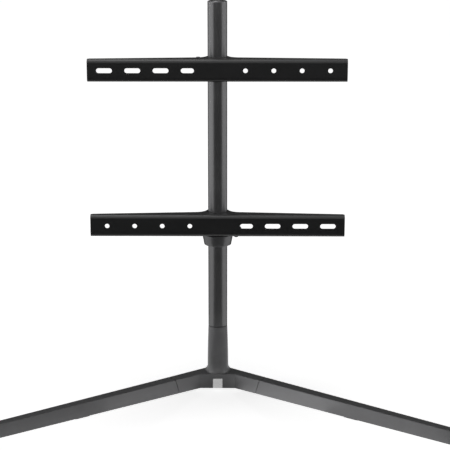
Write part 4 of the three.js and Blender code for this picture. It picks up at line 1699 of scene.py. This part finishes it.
@dataclass(frozen=True)
class Card:
    """A plain card beside the picture, as a photographer's flag or reflector.

    Attributes:
        name: Its name.
        bearing: The middle of the sector that it fills, in degrees from the camera.
        spread: Half the sector in degrees.
        profile: Distance and height pairs that it passes through, in metres.
        level: How light its upper or inner side is.
        lighting: Whether it lights matt surfaces.
        mirrored: Whether it shows in glossy ones.
        steps: How many steps its sweep takes.
    """

    name: str
    bearing: float
    spread: float
    profile: Tuple[Pair, ...]
    level: float
    lighting: bool = False
    mirrored: bool = True
    steps: int = 24

    def mesh(self) -> bpy.types.Mesh:
        """Sweep the card's profile round its sector.

        Returns:
            The sheet, whose front is its upper or inner side.
        """
        sheet = bmesh.new()
        rows = []
        for step in range(self.steps + 1):
            turned = math.radians(self.bearing + self.spread * (2 * step / self.steps - 1))
            x, y = math.sin(turned), -math.cos(turned)
            rows.append([sheet.verts.new((x * far, y * far, up)) for far, up in self.profile])
        for left, right in zip(rows, rows[1:]):
            for low in range(len(left) - 1):
                sheet.faces.new((left[low + 1], right[low + 1], right[low], left[low]))
        mesh = bpy.data.meshes.new(self.name)
        sheet.to_mesh(mesh)
        sheet.free()
        return mesh

    def build(self) -> None:
        """Stand or lay the card in its place."""
        card = linked(self.name, self.mesh())
        material = bpy.data.materials.new(self.name)
        tree = ShaderTree(material)
        behind = tree.node("ShaderNodeNewGeometry", output="Backfacing")
        shade = tree.node("ShaderNodeEmission", inputs={"Strength": (1 - behind) * self.level})
        tree.node("ShaderNodeOutputMaterial", inputs={"Surface": shade})
        card.data.materials.append(material)
        for ray in ("camera", "transmission", "volume_scatter", "shadow"):
            setattr(card, f"visible_{ray}", False)
        card.visible_diffuse = self.lighting
        card.visible_glossy = self.mirrored


@dataclass(frozen=True)
class Studio:
    """Floor, white surroundings, lamps and cards."""

    floor_size: float = 60.0
    floor_tone: float = 0.82
    # Painted shade: the floor glows dimmer near the stand's axis and rises to its full glow further
    # out.
    near_glow_painted_shade: float = 0.86
    far_glow: float = 1.0
    painted_shade_reach: Pair = (0.08, 0.36)
    sky: float = 0.02
    lamps: Tuple[Lamp, ...] = (
        Lamp("left_lamp", (-3.58, 0.0, 0.42), 84.0),
        Lamp("right_lamp", (3.5, -0.4, 0.5), 34.0),
        Lamp("front_lamp", (0.0, -3.57, 0.4), 10.0),
    )
    cards: Tuple[Card, ...] = (
        Card("front_card", 4.0, 52.0, (*lying(0.24, 3.4), (3.4, 1.0)), 0.1),
        Card("left_card", -88.0, 40.0, (*lying(1.5, 3.4), (3.4, 1.6)), 1.16),
        Card("right_card", 92.0, 36.0, (*lying(1.5, 3.4), (3.4, 1.6)), 0.96),
        Card("left_near_card", -88.0, 40.0, lying(0.2, 1.5), 0.72),
        Card("right_near_card", 92.0, 36.0, lying(0.2, 1.5), 0.76),
        Card("rear_card", 180.0, 52.0, (*lying(0.3, 3.4), (3.4, 2.6), (1.1, 2.6)), 0.1),
        Card("top_left_card", -90.0, 90.0, ((1.05, 2.4), (0.02, 2.4)), 3.3),
        Card("top_right_card", 90.0, 90.0, ((1.05, 2.4), (0.02, 2.4)), 1.0),
        Card("high_left_card", -112.0, 16.0, ((2.3, 1.8), (1.7, 2.5)), 5.0),
        Card("high_right_card", 112.0, 16.0, ((2.3, 1.8), (1.7, 2.5)), 5.0),
        Card("left_hub_card", -40.0, 14.0, lying(0.06, 0.25), 1.05, lighting=True),
        Card("right_hub_card", 40.0, 14.0, lying(0.06, 0.25), 1.75, lighting=True),
        Card("left_leg_card", -40.0, 14.0, lying(0.25, 0.5), 0.85, lighting=True, mirrored=False),
        Card("right_leg_card", 40.0, 14.0, lying(0.25, 0.5), 1.6, lighting=True, mirrored=False),
    )

    def seen(self, tree: ShaderTree) -> Wire:
        """Find the rays that show the background, in glass and gloss too.

        Args:
            tree: The tree that asks.

        Returns:
            1 for such a ray, and 0 otherwise.
        """
        rays = ("Is Camera Ray", "Is Glossy Ray", "Is Transmission Ray")
        camera, glossy, clear = (tree.node("ShaderNodeLightPath", output=ray) for ray in rays)
        return camera | glossy | clear

    def build_world(self) -> None:
        """White to look at, and a soft even light otherwise."""
        world = bpy.data.worlds.new("white_room")
        bpy.context.scene.world = world
        tree = ShaderTree(world)
        white = {"Color": (1, 1, 1, 1), "Strength": self.sky + self.seen(tree) * (1 - self.sky)}
        shade = tree.node("ShaderNodeBackground", inputs=white)
        tree.node("ShaderNodeOutputWorld", inputs={"Surface": shade})

    def build_floor(self) -> None:
        """A white floor that keeps the stand's shadow; its glow is dimmer round the stand's foot,
        as painted shade.
        """
        half = self.floor_size / 2
        mesh = bpy.data.meshes.new("floor")
        corners = [(-half, -half, 0), (half, -half, 0), (half, half, 0), (-half, half, 0)]
        mesh.from_pydata(corners, [], [(0, 1, 2, 3)])
        material = bpy.data.materials.new("white_floor")
        tree = ShaderTree(material)
        tone = (self.floor_tone,) * 3 + (1.0,)
        matt = tree.node("ShaderNodeBsdfDiffuse", inputs={"Color": tone})
        point = tree.node("ShaderNodeTexCoord", output="Object")
        length = tree.node("ShaderNodeVectorMath", {"operation": "LENGTH"}, {0: point}, "Value")
        # Painted shade round the stand's foot: the glow is at its dimmer level close to the axis
        # and at full level beyond.
        level = length.between(*self.painted_shade_reach) * (self.far_glow - self.near_glow_painted_shade) + self.near_glow_painted_shade
        glow = tree.node("ShaderNodeEmission", inputs={"Strength": self.seen(tree) * level})
        both = tree.node("ShaderNodeAddShader", inputs={0: matt, 1: glow})
        tree.node("ShaderNodeOutputMaterial", inputs={"Surface": both})
        mesh.materials.append(material)
        floor = linked("floor", mesh)

    def build(self) -> None:
        """Set up the studio."""
        bpy.context.scene.view_settings.view_transform = "Standard"
        self.build_world()
        self.build_floor()
        for item in [*self.lamps, *self.cards]:
            item.build()


@dataclass(frozen=True)
class Camera:
    """The camera, fitted to the photograph.

    Attributes:
        distance: Its distance from the pole's axis in metres, measured level.
        height: Its height in metres.
        pitch: How far it looks down, in degrees.
        bearing: How far it stands to the right of the pole, in degrees.
        roll: Its roll in degrees.
        focus: The focal length in pixels.
        centre: The picture column of its axis.
        frame: The picture's side in pixels.
        sensor: The sensor's width in millimetres.
        far: How far it sees, in metres.
    """

    distance: float = 2.626
    height: float = 0.9718
    pitch: float = 14.193
    bearing: float = 0.9
    roll: float = -0.1
    focus: float = 1476.0
    centre: float = 217.7
    frame: float = 450.0
    sensor: float = 36.0
    far: float = 100.0

    def build(self) -> None:
        """Place the camera and make it the scene's."""
        data = bpy.data.cameras.new("camera")
        camera = linked("camera", data)
        bpy.context.scene.camera = camera
        bearing, pitch = math.radians(self.bearing), math.radians(self.pitch)
        aside, back, level = math.sin(bearing), math.cos(bearing), math.cos(pitch)
        place = Vector((self.distance * aside, -self.distance * back, self.height))
        ahead = Vector((-aside * level, back * level, -math.sin(pitch)))
        right = Vector((back, aside, 0.0))
        rows = Matrix((right, right.cross(ahead), -ahead)).transposed().to_4x4()
        camera.matrix_world = Matrix.Translation(place) @ rows @ turn(self.roll, "Z")
        data.sensor_width = self.sensor
        data.lens = self.focus / self.frame * self.sensor
        data.shift_x = (self.frame / 2 - self.centre) / self.frame
        data.clip_end = self.far


# CAD nodes that stay as they are, because no side of the stand shows them.
HIDDEN_NODES: Dict[str, Finish] = {
    "neck_bush_lower": NYLON,
    "swivel_spindle": STEEL,
    "swivel_stop_washer": STEEL,
    "spindle_bolt": BLACKED,
    "lower_clamp_pad": NYLON,
    "upper_clamp_pad": NYLON,
}


def main() -> None:
    """Build the stand's looks and the studio."""
    logging.basicConfig(level=logging.INFO, format="%(message)s")
    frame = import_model()
    Camera().build()
    Studio().build()
    lower = Carriage("lower", height=314.0, turned=True)
    upper = Carriage("upper", height=597.0, turned=False)
    for assembly in [Hub(), *map(Leg, Side), Column(), lower, upper, Collar()]:
        LOG.info("building %s", type(assembly).__name__)
        assembly.build()
    for node, finish in HIDDEN_NODES.items():
        dressed(frame["nodes"][node].data, finish)
        LOG.info("%s: kept, %s", node, finish.name)


if __name__ == "__main__":
    main()
